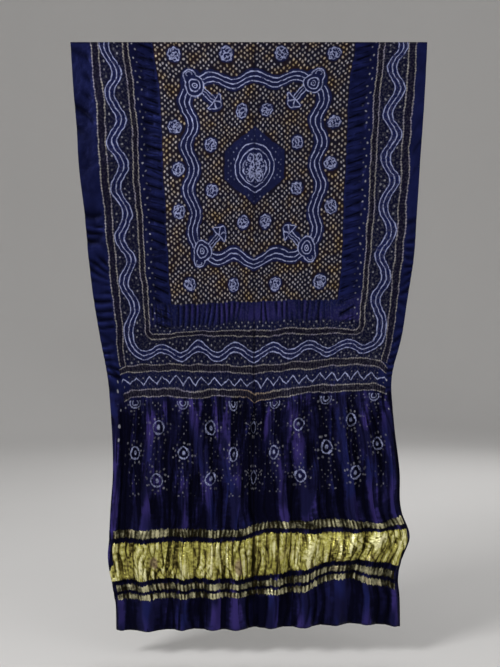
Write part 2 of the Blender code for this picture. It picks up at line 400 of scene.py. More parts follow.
RING_PITCH_ACROSS = 0.160
RING_PITCH_DOWN = 0.1312
RING_ROW_DOWN = 0.9757
RING_PULL = 0.013            # how far the rings near the centre are drawn outwards
RING_PULL_ENDS = 0.24
RING_RADIUS = 0.0160
HALF_RING_RADIUS = 0.0080
RING_EYE = 0.0046
RING_DOTS = ((10, 0.0260, 0.0029), (7, 0.0350, 0.0027))  # how many, how far out and how big
HALF_RINGS_DOWN = 0.905      # the topmost rings show only below this line
HALF_RINGS_END = 0.930
RINGS_END = 1.150
RINGS_OUTERMOST = 0.440      # no ring has its centre beyond this
CREASED_RING = 0.022         # rings nearer the centre than this are half hidden in the crease

RUBBED_SPOTS = (
    # where the gold is rubbed down to its copper: signed distance across, distance down
    (-0.050, 1.331),
    (-0.334, 1.315),
)
RUBBED_RADIUS = 0.017
SELVAGE_DOTS = (
    # signed distance across, distance down, radius
    (-0.4500, 0.8610, 0.0020),
    (-0.4530, 0.8790, 0.0024),
    (-0.4500, 0.9290, 0.0022),
    (-0.4540, 0.9715, 0.0036),
    (-0.4600, 1.0090, 0.0032),
    (0.4380, 0.8640, 0.0024),
    (0.4400, 0.9060, 0.0020),
    (0.4430, 0.9500, 0.0020),
)

BLED_DOWN = 0.885            # where dye has run brown at the crease
BLED_HALF_WIDTH = 0.050

GOLD_BANDS = (
    # top, foot
    (1.2330, 1.2530),
    (1.2650, 1.3600),
    (1.3730, 1.3895),
    (1.3975, 1.4100),
)
# The gold ends in a plain selvage, but for the foot of the wide band at the left.
GOLD_LEFT_END = 0.4670
GOLD_RIGHT_END = 0.4500
GOLD_REACHES_EDGE = 1.330

# Creases of the ruching beside the field, painted as lines of shade: pitch, noise scale, wander, width,
# strength.
RUCHES = ((0.0265, 9.0, 1.0, 0.10, 1.0), (0.0155, 15.0, 1.4, 0.11, 0.8))
RUCHED_FROM = 0.300          # distance across from which the ruched silk is painted darker: painted shade
RUCHED_TO = 0.314            # distance across and down that the ruching reaches
RUCHED_FOOT = 0.722
RUCHED_SLOPE = 0.36
GATHERS = (0.655, 0.711)     # distances down of the gathered silk below the field, painted darker and with painted highlights
# Sharp upright folds, painted only as light and shade: pitch, noise scale, wander, share.
SILK_FOLDS = ((0.056, 4.5, 1.9, 1.1), (0.024, 8.0, 2.2, 0.35))
GOLD_FOLDS = ((0.031, 10.0, 1.3, 1.0), (0.013, 20.0, 1.6, 0.6))


class ClothSizes(PropertyGroup):
    """Sizes of the fine sheet."""

    columns: IntProperty(name="Columns", description="Columns of the mesh", default=346, min=40, max=400)
    rows: IntProperty(name="Rows", description="Rows of the mesh", default=282, min=40, max=400)
    crease_share: FloatProperty(
        name="Crease depth",
        description="Share of the fine creases' full depth",
        default=1.0,
        min=0.0,
        max=2.0,
    )


def colour_property(name, description, colour):
    """A colour that a user may change."""
    return FloatVectorProperty(
        name=name, description=description, subtype="COLOR", size=3, default=colour
    )


class DyeAndLightColours(PropertyGroup):
    """Colours of the dyes and the gold thread, and of the painted light and shade on silk and gold."""

    navy: colour_property("Navy", "Plain silk", (0.0068, 0.0092, 0.0500))
    # Lit silk and bluer lit silk are painted highlights on the ridges of the folds.
    sheen: colour_property("Lit silk", "Silk on the ridges of the folds", (0.0400, 0.0290, 0.1550))
    blue_sheen: colour_property("Bluer lit silk", "Ridges of the bluer folds", (0.0120, 0.0150, 0.0850))
    # Night is the dark ground of the lower cloth and also the painted shade in troughs, creases and the
    # ruched and gathered silk.
    night: colour_property("Night", "Silk behind the rings", (0.0030, 0.0030, 0.0150))
    strip: colour_property("Strip", "Ground of the border's wave", (0.0050, 0.0050, 0.0160))
    maroon: colour_property("Maroon", "Ground between the border's paired lines", (0.0062, 0.0050, 0.0140))
    field: colour_property("Field", "Ground of the dotted field", (0.0085, 0.0080, 0.0180))
    brown: colour_property("Brown", "Warm patches of the field's ground", (0.0190, 0.0100, 0.0065))
    dusk: colour_property("Dusk", "Tint of the plain places in the field", (0.0125, 0.0150, 0.0440))
    beige: colour_property("Beige", "Tied dots of the field", (0.364, 0.352, 0.410))
    rust: colour_property("Rust", "Redder dots of the field", (0.430, 0.325, 0.195))
    ochre: colour_property("Ochre", "Soft brown rims of the field's dots", (0.1320, 0.1050, 0.0640))
    white: colour_property("White", "Tied lines and rings", (0.340, 0.370, 0.600))
    grey: colour_property("Grey", "Small tied dots of the border and the rings", (0.290, 0.290, 0.340))
    grey_beige: colour_property("Grey beige", "Paired lines of the border", (0.295, 0.275, 0.265))
    grey_violet: colour_property("Grey violet", "Fainter parts of the paired lines", (0.240, 0.220, 0.300))
    gold: colour_property("Gold", "Metal thread of the wide band", (0.620, 0.580, 0.140))
    # The next three are lit and shaded copies of the gold: a painted highlight on its ridges, painted shade
    # in its folds and painted shade in its deep creases.
    bright_gold: colour_property("Bright gold", "Highest threads of the wide band", (0.960, 0.920, 0.520))
    shaded_gold: colour_property("Old gold", "Brown shade in the folds of the gold", (0.155, 0.127, 0.036))
    gold_crease_shadow: colour_property("Dark gold", "Deep creases of the gold", (0.0240, 0.0170, 0.0045))
    pale_gold: colour_property("Pale gold", "Metal thread of the narrow strips", (0.520, 0.490, 0.300))
    copper: colour_property("Copper", "Rubbed patches of the gold", (0.345, 0.250, 0.155))


class StudioLook(PropertyGroup):
    """Floor and light of the plain studio."""

    floor_drop: FloatProperty(
        name="Floor drop", description="Floor below the cloth's top edge", default=1.56, unit="LENGTH"
    )
    floor_colour: colour_property("Floor", "Colour of floor and wall", (0.62, 0.61, 0.60))
    key_power: FloatProperty(name="Key light", description="Watts of the key light", default=120.0, min=0.0)
    fill_power: FloatProperty(name="Fill light", description="Watts of the fill light", default=30.0, min=0.0)


# ----------------------------------------------------------------------------------------------
# The sheet
# ----------------------------------------------------------------------------------------------


def curve_through(knots, values, at):
    """Smooth curve through the values given at the knots, read at other places."""
    knots, values, at = np.asarray(knots), np.asarray(values), np.asarray(at)
    gaps = np.diff(knots)
    steps = np.diff(values) / gaps
    middle = (steps[:-1] * gaps[1:] + steps[1:] * gaps[:-1]) / (gaps[:-1] + gaps[1:])
    slopes = np.concatenate((steps[:1], middle, steps[-1:]))
    span = np.clip(np.searchsorted(knots, at, side="right") - 1, 0, len(gaps) - 1)
    part = (at - knots[span]) / gaps[span]
    rise = values[span + 1] - values[span]
    bend_in = slopes[span] * gaps[span] - rise
    bend_out = rise - slopes[span + 1] * gaps[span]
    return values[span] + rise * part + part * (1 - part) * (bend_in * (1 - part) + bend_out * part)


def fade_in(value, start, length):
    """0 before start, 1 after start + length, and smooth between."""
    part = np.clip((value - start) / length, 0, 1)
    return part * part * (3 - 2 * part)


def window(value, start, end, fade):
    """1 between start and end, 0 outside, with soft edges of the given length."""
    return fade_in(value, start - fade / 2, fade) * (1 - fade_in(value, end - fade / 2, fade))


def bump(distance, half_width):
    """Rounded ridge of height 1."""
    return np.exp(-(distance / half_width) ** 2)


def rows_of(columns, table):
    """The rows of a table, with each value under its column's name."""
    return [dict(zip(columns, row)) for row in table]


def spread_round(across, down, row):
    """1 at the place that a table's row gives, and fading over its half width and half height."""
    level = bump(across - row["across"], row["half_width"])
    return level * bump(down - row["down"], row["half_height"])


def hanging_drops(places, down):
    """Drop of the cloth at each place (columns) and distance down (rows)."""
    level_down = [line[0] for line in LINES.values()]
    level_drops = np.array([line[1] for line in LINES.values()])
    at_places = np.array([curve_through(level_down, column, down) for column in level_drops.T])
    return np.array([curve_through(PLACES, row, places) for row in at_places.T])


def hang(across, down):
    """Hanging position of the flat cloth's grid and the painted light of its folds from its share of
    ridge, rows down by columns across.
    """
    places = np.where(across < 0, across / FLAT_LEFT, across / FLAT_RIGHT)
    drops = hanging_drops(places, down)
    outline = dict(zip(OUTLINE_COLUMNS, np.array(OUTLINE).T))
    left = curve_through(outline["drop"], outline["reach_left"], drops)
    right = curve_through(outline["drop"], outline["reach_right"], drops)

    rows = down[:, np.newaxis]
    drawn = DRAW_IN * fade_in(rows, DRAW_IN_FROM, DRAW_IN_GROWTH)
    drawn = drawn * (1 - fade_in(rows, DRAW_IN_ENDS, DRAW_IN_FADE))
    shares = places - drawn * np.sin(np.pi * places)
    x = np.where(shares < 0, shares * left, shares * right)

    dip = bump(rows - CREASE_DIP_AT, CREASE_DIP_HALF_LENGTH)
    drops = drops + CREASE_DIP * dip * bump(x, CREASE_HALF_WIDTH)

    forward = np.zeros_like(x)
    lit = np.zeros_like(x)
    for ridge in rows_of(RIDGE_COLUMNS, RIDGES):
        course = (ridge["at_rings"], ridge["at_strip"], ridge["at_hem"])
        place = curve_through(RIDGE_HEIGHTS, course, np.maximum(rows, RIDGE_HEIGHTS[0]))
        ridge_x = np.where(place < 0, place * left, place * right)
        growth = fade_in(rows, ridge["starts"], RIDGE_FADE)
        crest = growth * bump(x - ridge_x, ridge["half_width"])
        forward += ridge["rise"] * crest
        lit = np.maximum(lit, crest)
    for swell in rows_of(SWELL_COLUMNS, SWELLS):
        spread = bump(x - swell["x"], swell["half_width"])
        forward += swell["forward"] * spread * bump(drops - swell["drop"], swell["half_height"])
    forward -= CREASE_DEPTH * fade_in(rows, CREASE_FROM, RIDGE_FADE) * bump(x, CREASE_HALF_WIDTH)
    forward *= fade_in(rows, 0, HELD_FLAT)
    back = HANG_BACK * fade_in(rows, HANG_BACK_FROM, HANG_BACK_LENGTH)
    # Painted light and shade of the folds: lighter on their ridges, darker in their troughs, over the lower
    # cloth.
    lit = 0.5 + (lit ** 2.0 - 0.38) * fade_in(rows, 0.86, RIDGE_FADE)
    return x, back - forward, -drops, lit


def lumps(across, down, wide, tall, seed):
    """Smooth irregular heights from -1 to 1, whose lumps have about the given width and height."""
    random = np.random.default_rng(seed)
    column = (across - across.min()) / wide
    row = (down - down.min()) / tall
    heights = random.uniform(-1, 1, (int(row.max()) + 2, int(column.max()) + 2))
    left = column.astype(int)
    above = row.astype(int)
    right_share = fade_in(column - left, 0, 1)
    below_share = fade_in(row - above, 0, 1)
    upper = heights[above, left] * (1 - right_share) + heights[above, left + 1] * right_share
    lower = heights[above + 1, left] * (1 - right_share) + heights[above + 1, left + 1] * right_share
    return upper * (1 - below_share) + lower * below_share


def crease_depths(crease, along, beside, side, down, seed):
    """How deep each point lies in creases that run across 'along', 0 to 1, and how high on the
    rounds between them, -1 to 1: they wander, and fade out here and there."""
    pitch, run = crease["pitch"], crease["run"]
    drift = lumps(beside, along, run, 3 * pitch, seed) * crease["wander"]
    strength = fade_in(lumps(beside, along, run, 1.4 * pitch, seed + 50), -0.7, 1.1)
    phase = (along + crease["slant"] * side) / pitch + drift
    near = 2 * np.abs(phase - np.round(phase)) / crease["width"]
    where = window(side, crease["inner"], crease["outer"], crease["fade"])
    where = where * window(down, crease["top"], crease["foot"], crease["fade"])
    height = -np.cos(2 * np.pi * (phase + 0.12))
    return np.exp(-near ** 2) * strength * where, height * strength * where


def fine_relief(across, down, lit):
    """How far the fine creases and lumps stand forward, how deep each point lies in a crease, which is
    painted shade, and how light each point is painted: painted light and shade."""
    side = np.abs(across)
    forward = np.zeros_like(across)
    crease_shade = np.zeros_like(across)
    rounds = np.zeros_like(across)
    seed = 1
    for table, along, beside in ((LEVEL_CREASES, down, across), (UPRIGHT_CREASES, across, down)):
        for crease in rows_of(CREASE_COLUMNS, table.values()):
            cut, height = crease_depths(crease, along, beside, side, down, seed)
            # Painted light and shade on the rounds between creases, and painted shade in each crease by its
            # dark share.
            rounds += crease["light"] * height
            forward -= crease["depth"] * cut
            crease_shade = np.maximum(crease_shade, crease["dark"] * cut)
            seed += 1

    # Painted light over the gold: a level of its own and a share of the folds' painted light and shade.
    in_gold = np.zeros_like(across)
    gold_light = np.full_like(across, STRIP_LIGHT)
    for top, foot in GOLD_BANDS:
        band = window(down, top, foot, 0.006)
        in_gold = np.maximum(in_gold, band)
        if foot - top > 0.05:
            gold_light += (BAND_LIGHT - STRIP_LIGHT) * band
    light = lit + (gold_light + (lit - 0.5) * BAND_FOLD_SHARE - lit) * in_gold + rounds
    for lump in rows_of(LUMP_COLUMNS, LUMPS.values()):
        heights = lumps(across, down, lump["wide"], lump["tall"], seed)
        heights = heights * window(down, lump["top"], lump["foot"], lump["fade"])
        forward += lump["height"] * heights
        light = light + lump["light"] * heights
        seed += 1
    for tone in rows_of(TONE_COLUMNS, TONES):
        light = light + tone["lighter"] * spread_round(across, down, tone)
    # The navy gaps between the gold bands sink back and are painted darker: painted shade.
    for (_, foot), (top, _) in zip(GOLD_BANDS, GOLD_BANDS[1:]):
        gap = window(down, foot, top, (top - foot) / 2)
        forward -= BAND_SINK * gap
        light = light * (1 - 0.7 * gap)
    # Painted shade on the ruched band beside the field.
    light -= RUCHED_SHADE * window(side, FIELD_SIDE, 0.296, 0.020) * (1 - fade_in(down, 0.70, 0.03))
    # Painted shade along the centre crease, stronger lower down.
    centre = bump(across, CREASE_DARK_HALF_WIDTH) * (0.42 + 0.48 * fade_in(down, CREASE_FROM, 0.08))
    return forward, np.maximum(crease_shade, centre), np.clip(light, 0, 1)


def sheet_rows(rows):
    """Distances down of the mesh rows and how far each lies behind the cloth, hems included."""
    down = np.linspace(0, FLAT_LENGTH, rows + 1)
    turn = np.linspace(1, 0, HEM_ROWS, endpoint=False)[::-1] * HEM_TURN
    top_hem = turn[::-1]
    foot_hem = FLAT_LENGTH - turn
    hem = np.full(HEM_ROWS, HEM_BACK)
    behind = np.concatenate((hem, np.zeros(rows + 1), hem))
    return np.concatenate((top_hem, down, foot_hem)), behind


def drifted(across, down):
    """Flat places of the drawn pattern at each point of the cloth."""
    drawn_across, drawn_down = across.copy(), down.copy()
    for drift in rows_of(DRIFT_COLUMNS, DRIFTS):
        share = spread_round(across, down, drift)
        drawn_across -= drift["to_right"] * share
        drawn_down -= drift["lower"] * share
    return drawn_across, drawn_down


def add_map(mesh, name, points):
    """Gives the mesh a UV map with one place for each of its points."""
    layer = mesh.uv_layers.new(name=name)
    corners = np.empty(len(mesh.loops), dtype=np.int32)
    mesh.loops.foreach_get("vertex_index", corners)
    layer.data.foreach_set("uv", points[corners].astype(np.float32).ravel())


def add_number(mesh, name, values):
    """Gives each point of the mesh a number, as a named attribute."""
    attribute = mesh.attributes.new(name, "FLOAT", "POINT")
    attribute.data.foreach_set("value", values.astype(np.float32).ravel())


def hang_cloth(sizes):
    """The fine sheet, hung as the solid is, with its creases, maps and turned hems, and the painted light
    and shade that its material reads.
    """
    left_columns = round(sizes.columns * FLAT_LEFT / (FLAT_LEFT + FLAT_RIGHT))
    left = np.linspace(-FLAT_LEFT, 0, left_columns + 1)
    right = np.linspace(0, FLAT_RIGHT, sizes.columns - left_columns + 1)
    across = np.concatenate((left, right[1:]))
    down, behind = sheet_rows(sizes.rows)
    x, y, z, lit = hang(across, down)
    flat_across, flat_down = np.meshgrid(across, down)
    drawn_across, drawn_down = drifted(flat_across, flat_down)
    forward, crease_shade, light = fine_relief(drawn_across, drawn_down, lit)
    y = y - forward * sizes.crease_share * fade_in(flat_down, 0, HELD_FLAT / 2) + behind[:, np.newaxis]

    columns = len(across)
    corner = (np.arange(len(down) - 1)[:, np.newaxis] * columns + np.arange(columns - 1)).ravel()
    faces = np.stack((corner, corner + columns, corner + columns + 1, corner + 1), axis=1)
    points = np.stack((x, y, z), axis=-1).reshape(-1, 3)
    mesh = bpy.data.meshes.new("cloth")
    mesh.from_pydata(points.tolist(), [], faces.tolist())
    mesh.shade_smooth()

    add_map(mesh, FLAT_MAP, np.stack((drawn_across, drawn_down), axis=-1).reshape(-1, 2))
    share_across = (flat_across + FLAT_LEFT) / (FLAT_LEFT + FLAT_RIGHT)
    share_rows = np.repeat(np.linspace(1, 0, len(down))[:, np.newaxis], columns, axis=1)
    add_map(mesh, BAKE_MAP, np.stack((share_across, share_rows), axis=-1).reshape(-1, 2))
    add_number(mesh, CREASE_SHADE, crease_shade)
    add_number(mesh, LIT, light)

    cloth = bpy.data.objects.new("cloth", mesh)
    bpy.context.scene.collection.objects.link(cloth)
    return cloth


# ----------------------------------------------------------------------------------------------
# Reckoning with nodes
# ----------------------------------------------------------------------------------------------


class Number:
    """A number on a node tree, reckoned with as in ordinary arithmetic."""

    def __init__(self, tree, socket):
        self.tree = tree
        self.socket = socket

    def through(self, operation, *others, clamp=False):
        """This number and others put through a Math node."""
        node = self.tree.nodes.new("ShaderNodeMath")
        node.operation = operation
        node.use_clamp = clamp
        for inlet, value in zip(node.inputs, (self, *others)):
            feed(inlet, value)
        return Number(self.tree, node.outputs[0])

    def line(self, slope, start):
        """This number times a slope, plus a start."""
        return self.through("MULTIPLY_ADD", slope, start)

    def share(self, slope, start):
        """This number times a slope, plus a start, kept from 0 to 1."""
        return self.through("MULTIPLY_ADD", slope, start, clamp=True)

    def __add__(self, other):
        return self.through("ADD", other)

    def __sub__(self, other):
        return self.through("SUBTRACT", other)

    def __rsub__(self, other):
        return self.line(-1.0, other)

    def __mul__(self, other):
        return self.through("MULTIPLY", other)

    def __truediv__(self, other):
        return self.through("DIVIDE", other)

    def __abs__(self):
        return self.through("ABSOLUTE")

    __radd__ = __add__
    __rmul__ = __mul__


def feed(inlet, value):
    """Links a number to a node's inlet, or sets the inlet to a plain value."""
    if isinstance(value, Number):
        value.tree.links.new(value.socket, inlet)
    else:
        inlet.default_value = value


def least(first, *others):
    """The smallest of some numbers."""
    for other in others:
        first = first.through("MINIMUM", other)
    return first


def most(first, *others):
    """The largest of some numbers."""
    for other in others:
        first = first.through("MAXIMUM", other)
    return first


def far(x, y):
    """Distance from the origin."""
    return x.line(x, y * y).through("SQRT")


def under(value, limit, edge=DYE_EDGE):
    """1 where the value is under the limit, 0 where it is over, with a soft edge."""
    if isinstance(limit, Number):
        return (limit - value).share(1 / edge, 0.5)
    return value.share(-1 / edge, limit / edge + 0.5)


def over(value, limit, edge=DYE_EDGE):
    """1 where the value is over the limit, 0 where it is under, with a soft edge."""
    return value.share(1 / edge, 0.5 - limit / edge)


def between(value, start, end, edge=DYE_EDGE):
    """1 between two limits, 0 outside them, with soft edges."""
    return over(value, start, edge) * under(value, end, edge)


def stroke(distance, width=LINE_WIDTH):
    """A line of the given width where the distance is near 0."""
    return under(abs(distance), width / 2)


def turned(x, y, degrees):
    """Coordinates turned anticlockwise as seen with y down the cloth."""
    cosine, sine = math.cos(math.radians(degrees)), math.sin(math.radians(degrees))
    return x.line(cosine, y * sine), y.line(cosine, x * -sine)


def oval(x, y, half_width, half_height):
    """Rough distance outside an oval, negative inside."""
    size = min(half_width, half_height)
    return far(x * (1 / half_width), y * (1 / half_height)).line(size, -size)


def repeat(value, pitch, start=0.0):
    """Distance from the nearest of evenly spaced places."""
    return value.line(1 / pitch, 0.5 - start / pitch).through("FRACT").line(pitch, -pitch / 2)


def wave(value, start, period):
    """Cosine of a value, with a crest at the start and one every period after it."""
    return ((value - start) * (2 * math.pi / period)).through("COSINE")


def triple(distance, gap=LINE_GAP, width=LINE_WIDTH):
    """Three lines a gap apart, the middle one where the distance is 0."""
    return stroke(repeat(distance, gap), width) * under(abs(distance), 1.5 * gap)


def mix_numbers(share, first, second):
    """First where the share is 0, second where it is 1."""
    return share.line(second - first, first)


def separate(tree, socket, kind="Color"):
    """The three parts of a colour or of a place, as numbers."""
    node = tree.nodes.new("ShaderNodeSeparate" + kind)
    tree.links.new(socket, node.inputs[0])
    return [Number(tree, part) for part in node.outputs]


def chances(column, row):
    """Three numbers from 0 to 1, drawn by chance for each whole column and row."""
    tree = column.tree
    cell = tree.nodes.new("ShaderNodeCombineXYZ")
    feed(cell.inputs[0], column)
    feed(cell.inputs[1], row)
    draw = tree.nodes.new("ShaderNodeTexWhiteNoise")
    draw.noise_dimensions = "2D"
    tree.links.new(cell.outputs[0], draw.inputs["Vector"])
    return separate(tree, draw.outputs["Color"])


def new_group(name, inlets, outlets):
    """An empty shader node group, its input numbers and its output node."""
    group = bpy.data.node_groups.new(name, "ShaderNodeTree")
    for inlet in inlets:
        group.interface.new_socket(inlet, in_out="INPUT", socket_type="NodeSocketFloat")
    for outlet in outlets:
        group.interface.new_socket(outlet, in_out="OUTPUT", socket_type="NodeSocketFloat")
    given = group.nodes.new("NodeGroupInput")
    result = group.nodes.new("NodeGroupOutput")
    return group, [Number(group, given.outputs[name]) for name in inlets], result


def give(result, **values):
    """Links numbers to a group's outputs, with spaces for underscores."""
    for name, value in values.items():
        feed(result.inputs[name.replace("_", " ")], value)


def use_group(group, *values):
    """Places a group in the tree of its first value and feeds its inputs in order."""
    tree = values[0].tree
    node = tree.nodes.new("ShaderNodeGroup")
    node.node_tree = group
    for inlet, value in zip(node.inputs, values):
        feed(inlet, value)
    return {outlet.name: Number(tree, outlet) for outlet in node.outputs}


# ----------------------------------------------------------------------------------------------
# The dyed pattern
# ----------------------------------------------------------------------------------------------


def dot_group():
    """Tied dots on a diamond lattice, each a little off its place and with its own strength."""
    inlets = ("Across", "Down", "Pitch Across", "Pitch Down", "Width", "Height")
    outlets = ("Dot", "Centre Across", "Centre Down", "Chance")
    group, given, result = new_group("Tied dots", inlets, outlets)
    across, down, pitch_across, pitch_down, width, height = given
    slant = across / pitch_across
    level = down / pitch_down
    first = slant + level
    second = slant - level
    first_off = first.through("FRACT") - 0.5
    second_off = second.through("FRACT") - 0.5
    off_across = (first_off + second_off) * pitch_across * 0.5
    off_down = (first_off - second_off) * pitch_down * 0.5
    aside, lower, chance = chances(first.through("FLOOR"), second.through("FLOOR"))
    shift_across = (aside - 0.5) * pitch_across * 0.16
    shift_down = (lower - 0.5) * pitch_down * 0.20
    reach = far((off_across - shift_across) * 2 / width, (off_down - shift_down) * 2 / height)
    give(
        result,
        Dot=under(reach, 0.92, edge=0.80),
        Centre_Across=across - off_across,
        Centre_Down=down - off_down,
        Chance=chance,
    )
    return group


def frame_distances(across, down):
    """Distances from the middle lines of the wavy frame's level and upright sides, and from the field's
    middle line."""
    from_middle = abs(down - FRAME_MIDDLE)
    foot_drop = over(down, FRAME_MIDDLE) * across.line(-FRAME_FOOT_SLOPE, FRAME_FOOT_DROP)
    narrower = over(down, FRAME_NARROWS_FROM, edge=0.07) * FRAME_NARROWER
    level_wave = wave(across, 0.0, FRAME_PERIOD_ACROSS)
    upright_wave = wave(down, FRAME_MIDDLE, FRAME_PERIOD_DOWN)
    level = from_middle - foot_drop - level_wave.line(FRAME_SWING, FRAME_HALF_HEIGHT)
    upright = across + narrower - upright_wave.line(-FRAME_SWING, FRAME_SIDE)
    return level, upright, from_middle


def nearest_rosette(across, down):
    """Place relative to the nearest rosette's centre, and its distance."""
    up = abs(down - FRAME_MIDDLE)
    foot = over(down, FRAME_MIDDLE)
    places = list(ROSETTES)
    for ends in zip(TOP_ROSETTES, FOOT_ROSETTES):
        places.append([mix_numbers(foot, at_top, at_foot) for at_top, at_foot in zip(*ends)])
    best_x = across - places[0][0]
    best_y = up - places[0][1]
    best = far(best_x, best_y)
    for place_across, place_up in places[1:]:
        x = across - place_across
        y = up - place_up
        distance = far(x, y)
        closer = distance.through("LESS_THAN", best)
        best_x = mix_numbers(closer, best_x, x)
        best_y = mix_numbers(closer, best_y, y)
        best = least(best, distance)
    return best_x, best_y, best


def panel_distance(across, down):
    """Distance outside the plain six-sided panel round the medallion, negative inside."""
    slope = (PANEL_HALF_HEIGHT - PANEL_UPRIGHT) / PANEL_HALF_WIDTH
    eave = (across.line(slope, abs(down - PANEL_DOWN)) - PANEL_HALF_HEIGHT) * (1 / math.hypot(1, slope))
    return most(eave, across - PANEL_HALF_WIDTH)


def clearance_group():
    """Distance from the field's motifs, which keep the dots away."""
    group, (across, down), result = new_group("Field motifs", ("Across", "Down"), ("Distance",))
    level, upright, up = frame_distances(across, down)
    shifted = across + over(down, FRAME_MIDDLE) * CORNER_FOOT_SHIFT
    distance = least(
        most(abs(level) - 1.5 * LINE_GAP, across - FRAME_CORNER_ACROSS),
        most(abs(upright) - 1.5 * UPRIGHT_GAP, up - FRAME_CORNER_UP),
        nearest_rosette(across, down)[2] - ROSETTE_RADIUS,
        panel_distance(across, down),
    )
    for place_across, place_up, radius in CORNER_CLEARANCES:
        distance = least(distance, far(shifted - place_across, up - place_up) - radius)
    give(result, Distance=distance)
    return group


def rosette_lines(across, down):
    """White strokes of the nearest rosette, a ragged rim and a smaller ring, and its whole disc."""
    x, y, distance = nearest_rosette(across, down)
    angle = y.through("ARCTAN2", x)
    swell = (angle * ROSETTE_POINTS).through("COSINE")
    uneven = (angle * 2.0 + across * 90.0 + down * 70.0).through("SINE") * 0.0014
    rim = distance + uneven - swell.line(0.06 * ROSETTE_RADIUS, 0.80 * ROSETTE_RADIUS)
    heart = distance - uneven * 2.2 - 0.38 * ROSETTE_RADIUS
    gaps = (angle * 5.0 - across * 60.0).through("SINE").share(0.30, 0.75)
    strokes = most(stroke(rim, 0.0034) * gaps, stroke(heart, 0.0026) * 0.8)
    return strokes, under(distance, 0.84 * ROSETTE_RADIUS, edge=0.003)


def corner_lines(across, up):
    """White strokes of the corner flower, its whole shape and the distance outside its egg: the egg has
    a ring and an eye and runs out round a small ring at its tip, a double stem leads towards the middle,
    and a flower of three pointed petals ends it."""
    x, y = across - FRAME_CORNER_ACROSS - 0.001, up - FRAME_CORNER_UP
    along, beside = turned(x, y, EGG_TURN)
    beside_wide = beside * along.line(6.0, 1.0)
    egg = oval(along + 0.0010, beside_wide, *EGG)
    outer = least(egg, oval(x - 0.0095, y - 0.0180, *EGG_TIP))
    rings = most(
        stroke(oval(along + 0.0010, beside_wide, *EGG_RING)),
        stroke(oval(along + 0.0015, beside, *EGG_EYE), 0.0026),
        under(far(along + 0.0015, beside), 0.0020),
        stroke(oval(x - 0.0110, y - 0.0270, *TIP_RING), 0.0022) * over(egg, 0.001) * 0.8,
    )

    from_across, from_up = across - FLOWER_ACROSS, up - FLOWER_UP
    flower_x, flower_y = turned(from_across, from_up, 45)
    stem = most(stroke(abs(flower_y) - STEM_HALF_WIDTH, 0.0026), stroke(flower_y, 0.0022) * 0.7)
    stem = stem * under(abs(flower_x - STEM_MIDDLE), STEM_HALF_LENGTH) * over(outer, 0.0)
    square = most(abs(from_across), abs(from_up)) - FLOWER_REACH
    petals = []
    for degrees in PETAL_TURNS:
        petal_x, petal_y = turned(flower_x, flower_y, degrees)
        sides = abs(petal_y) * 0.87 + petal_x * 0.48
        petals.append(most(sides, square, far(petal_x, petal_y) - PETAL_LENGTH))
    petal = least(*petals)
    strokes = most(stroke(outer), rings, stem, stroke(petal, 0.0027))
    return strokes, under(least(outer, petal), 0.0045), outer


def medallion_lines(across, down):
    """White strokes of the medallion: two ovals pointed at the foot, with looped sprigs inside."""
    y = down - MEDALLION_DOWN
    point = most(y, 0.0)
    narrow = across + point * point * 4.2
    outer = oval(narrow, y, MEDALLION_HALF_WIDTH, MEDALLION_HALF_HEIGHT)
    faint_top = under(across, 0.004, edge=0.012) * under(y, -0.03)
    rims = most(stroke(outer) * (1 - faint_top), stroke(outer + LINE_GAP + 0.0020))
    loops = [
        abs(oval(across - at_across, y - lower, half_width, half_height))
        for at_across, lower, half_width, half_height in SPRIGS
    ]
    feather = oval(across - 0.0230, y + 0.0005, 0.0110, 0.0200)
    swollen = under(abs(y), 0.0070, edge=0.006) * 0.0018
    feathers = under(abs(feather) - swollen, 0.0013) * over(across, 0.0275)
    return most(rims, stroke(least(*loops), 0.0030) * 0.85, feathers)


def field_group(dots, clearance):
    """The dotted field: where it lies, its tied dots, its white strokes, the plain halo round its motifs
    and the places that are paler all over."""
    outlets = ("Ground", "Dots", "White", "Halo", "Pale")
    group, (across, down), result = new_group("Dotted field", ("Across", "Down"), outlets)
    field = under(across, FIELD_SIDE) * under(down, FIELD_FOOT)

    lattice = use_group(dots, across, down, *FIELD_DOTS)
    dot_across, dot_down = lattice["Centre Across"], lattice["Centre Down"]
    kept = over(use_group(clearance, dot_across, dot_down)["Distance"], 0.0035)
    in_field = under(dot_across, FIELD_SIDE - 0.002) * under(dot_down, FIELD_FOOT - 0.002)
    field_dots = lattice["Dot"] * kept * in_field * (lattice["Chance"] * 0.50 + 0.50)

    faint = use_group(dots, across, down, *PANEL_DOTS)
    dot_across, dot_down = faint["Centre Across"], faint["Centre Down"]
    in_panel = under(panel_distance(dot_across, dot_down), -0.004)
    from_oval = oval(dot_across, dot_down - MEDALLION_DOWN, MEDALLION_HALF_WIDTH, MEDALLION_HALF_HEIGHT)
    faint_dots = faint["Dot"] * in_panel * over(from_oval, 0.006) * (faint["Chance"] * 0.55)

    level, upright, up = frame_distances(across, down)
    shifted = across + over(down, FRAME_MIDDLE) * CORNER_FOOT_SHIFT
    corners, corner_inside, corner_outer = corner_lines(shifted, up)
    free = over(corner_outer, 0.0012)
    level_lines = triple(level) * under(across, FRAME_CORNER_ACROSS - 0.004) * free
    upright_lines = triple(upright, UPRIGHT_GAP) * under(up, FRAME_CORNER_UP - 0.010) * free
    strokes, disc = rosette_lines(across, down)
    heart = under(oval(across, down - MEDALLION_DOWN, *PALE_HEART), 0.0, edge=0.004)
    white = most(level_lines, upright_lines, strokes, corners, medallion_lines(across, down), faint_dots)

    clear = use_group(clearance, across, down)["Distance"]
    halo = most(under(clear, 0.0010, edge=0.003), corner_inside)
    pale = most(disc * field, heart)
    give(result, Ground=field, Dots=field_dots, White=white * field, Halo=halo, Pale=pale)
    return group


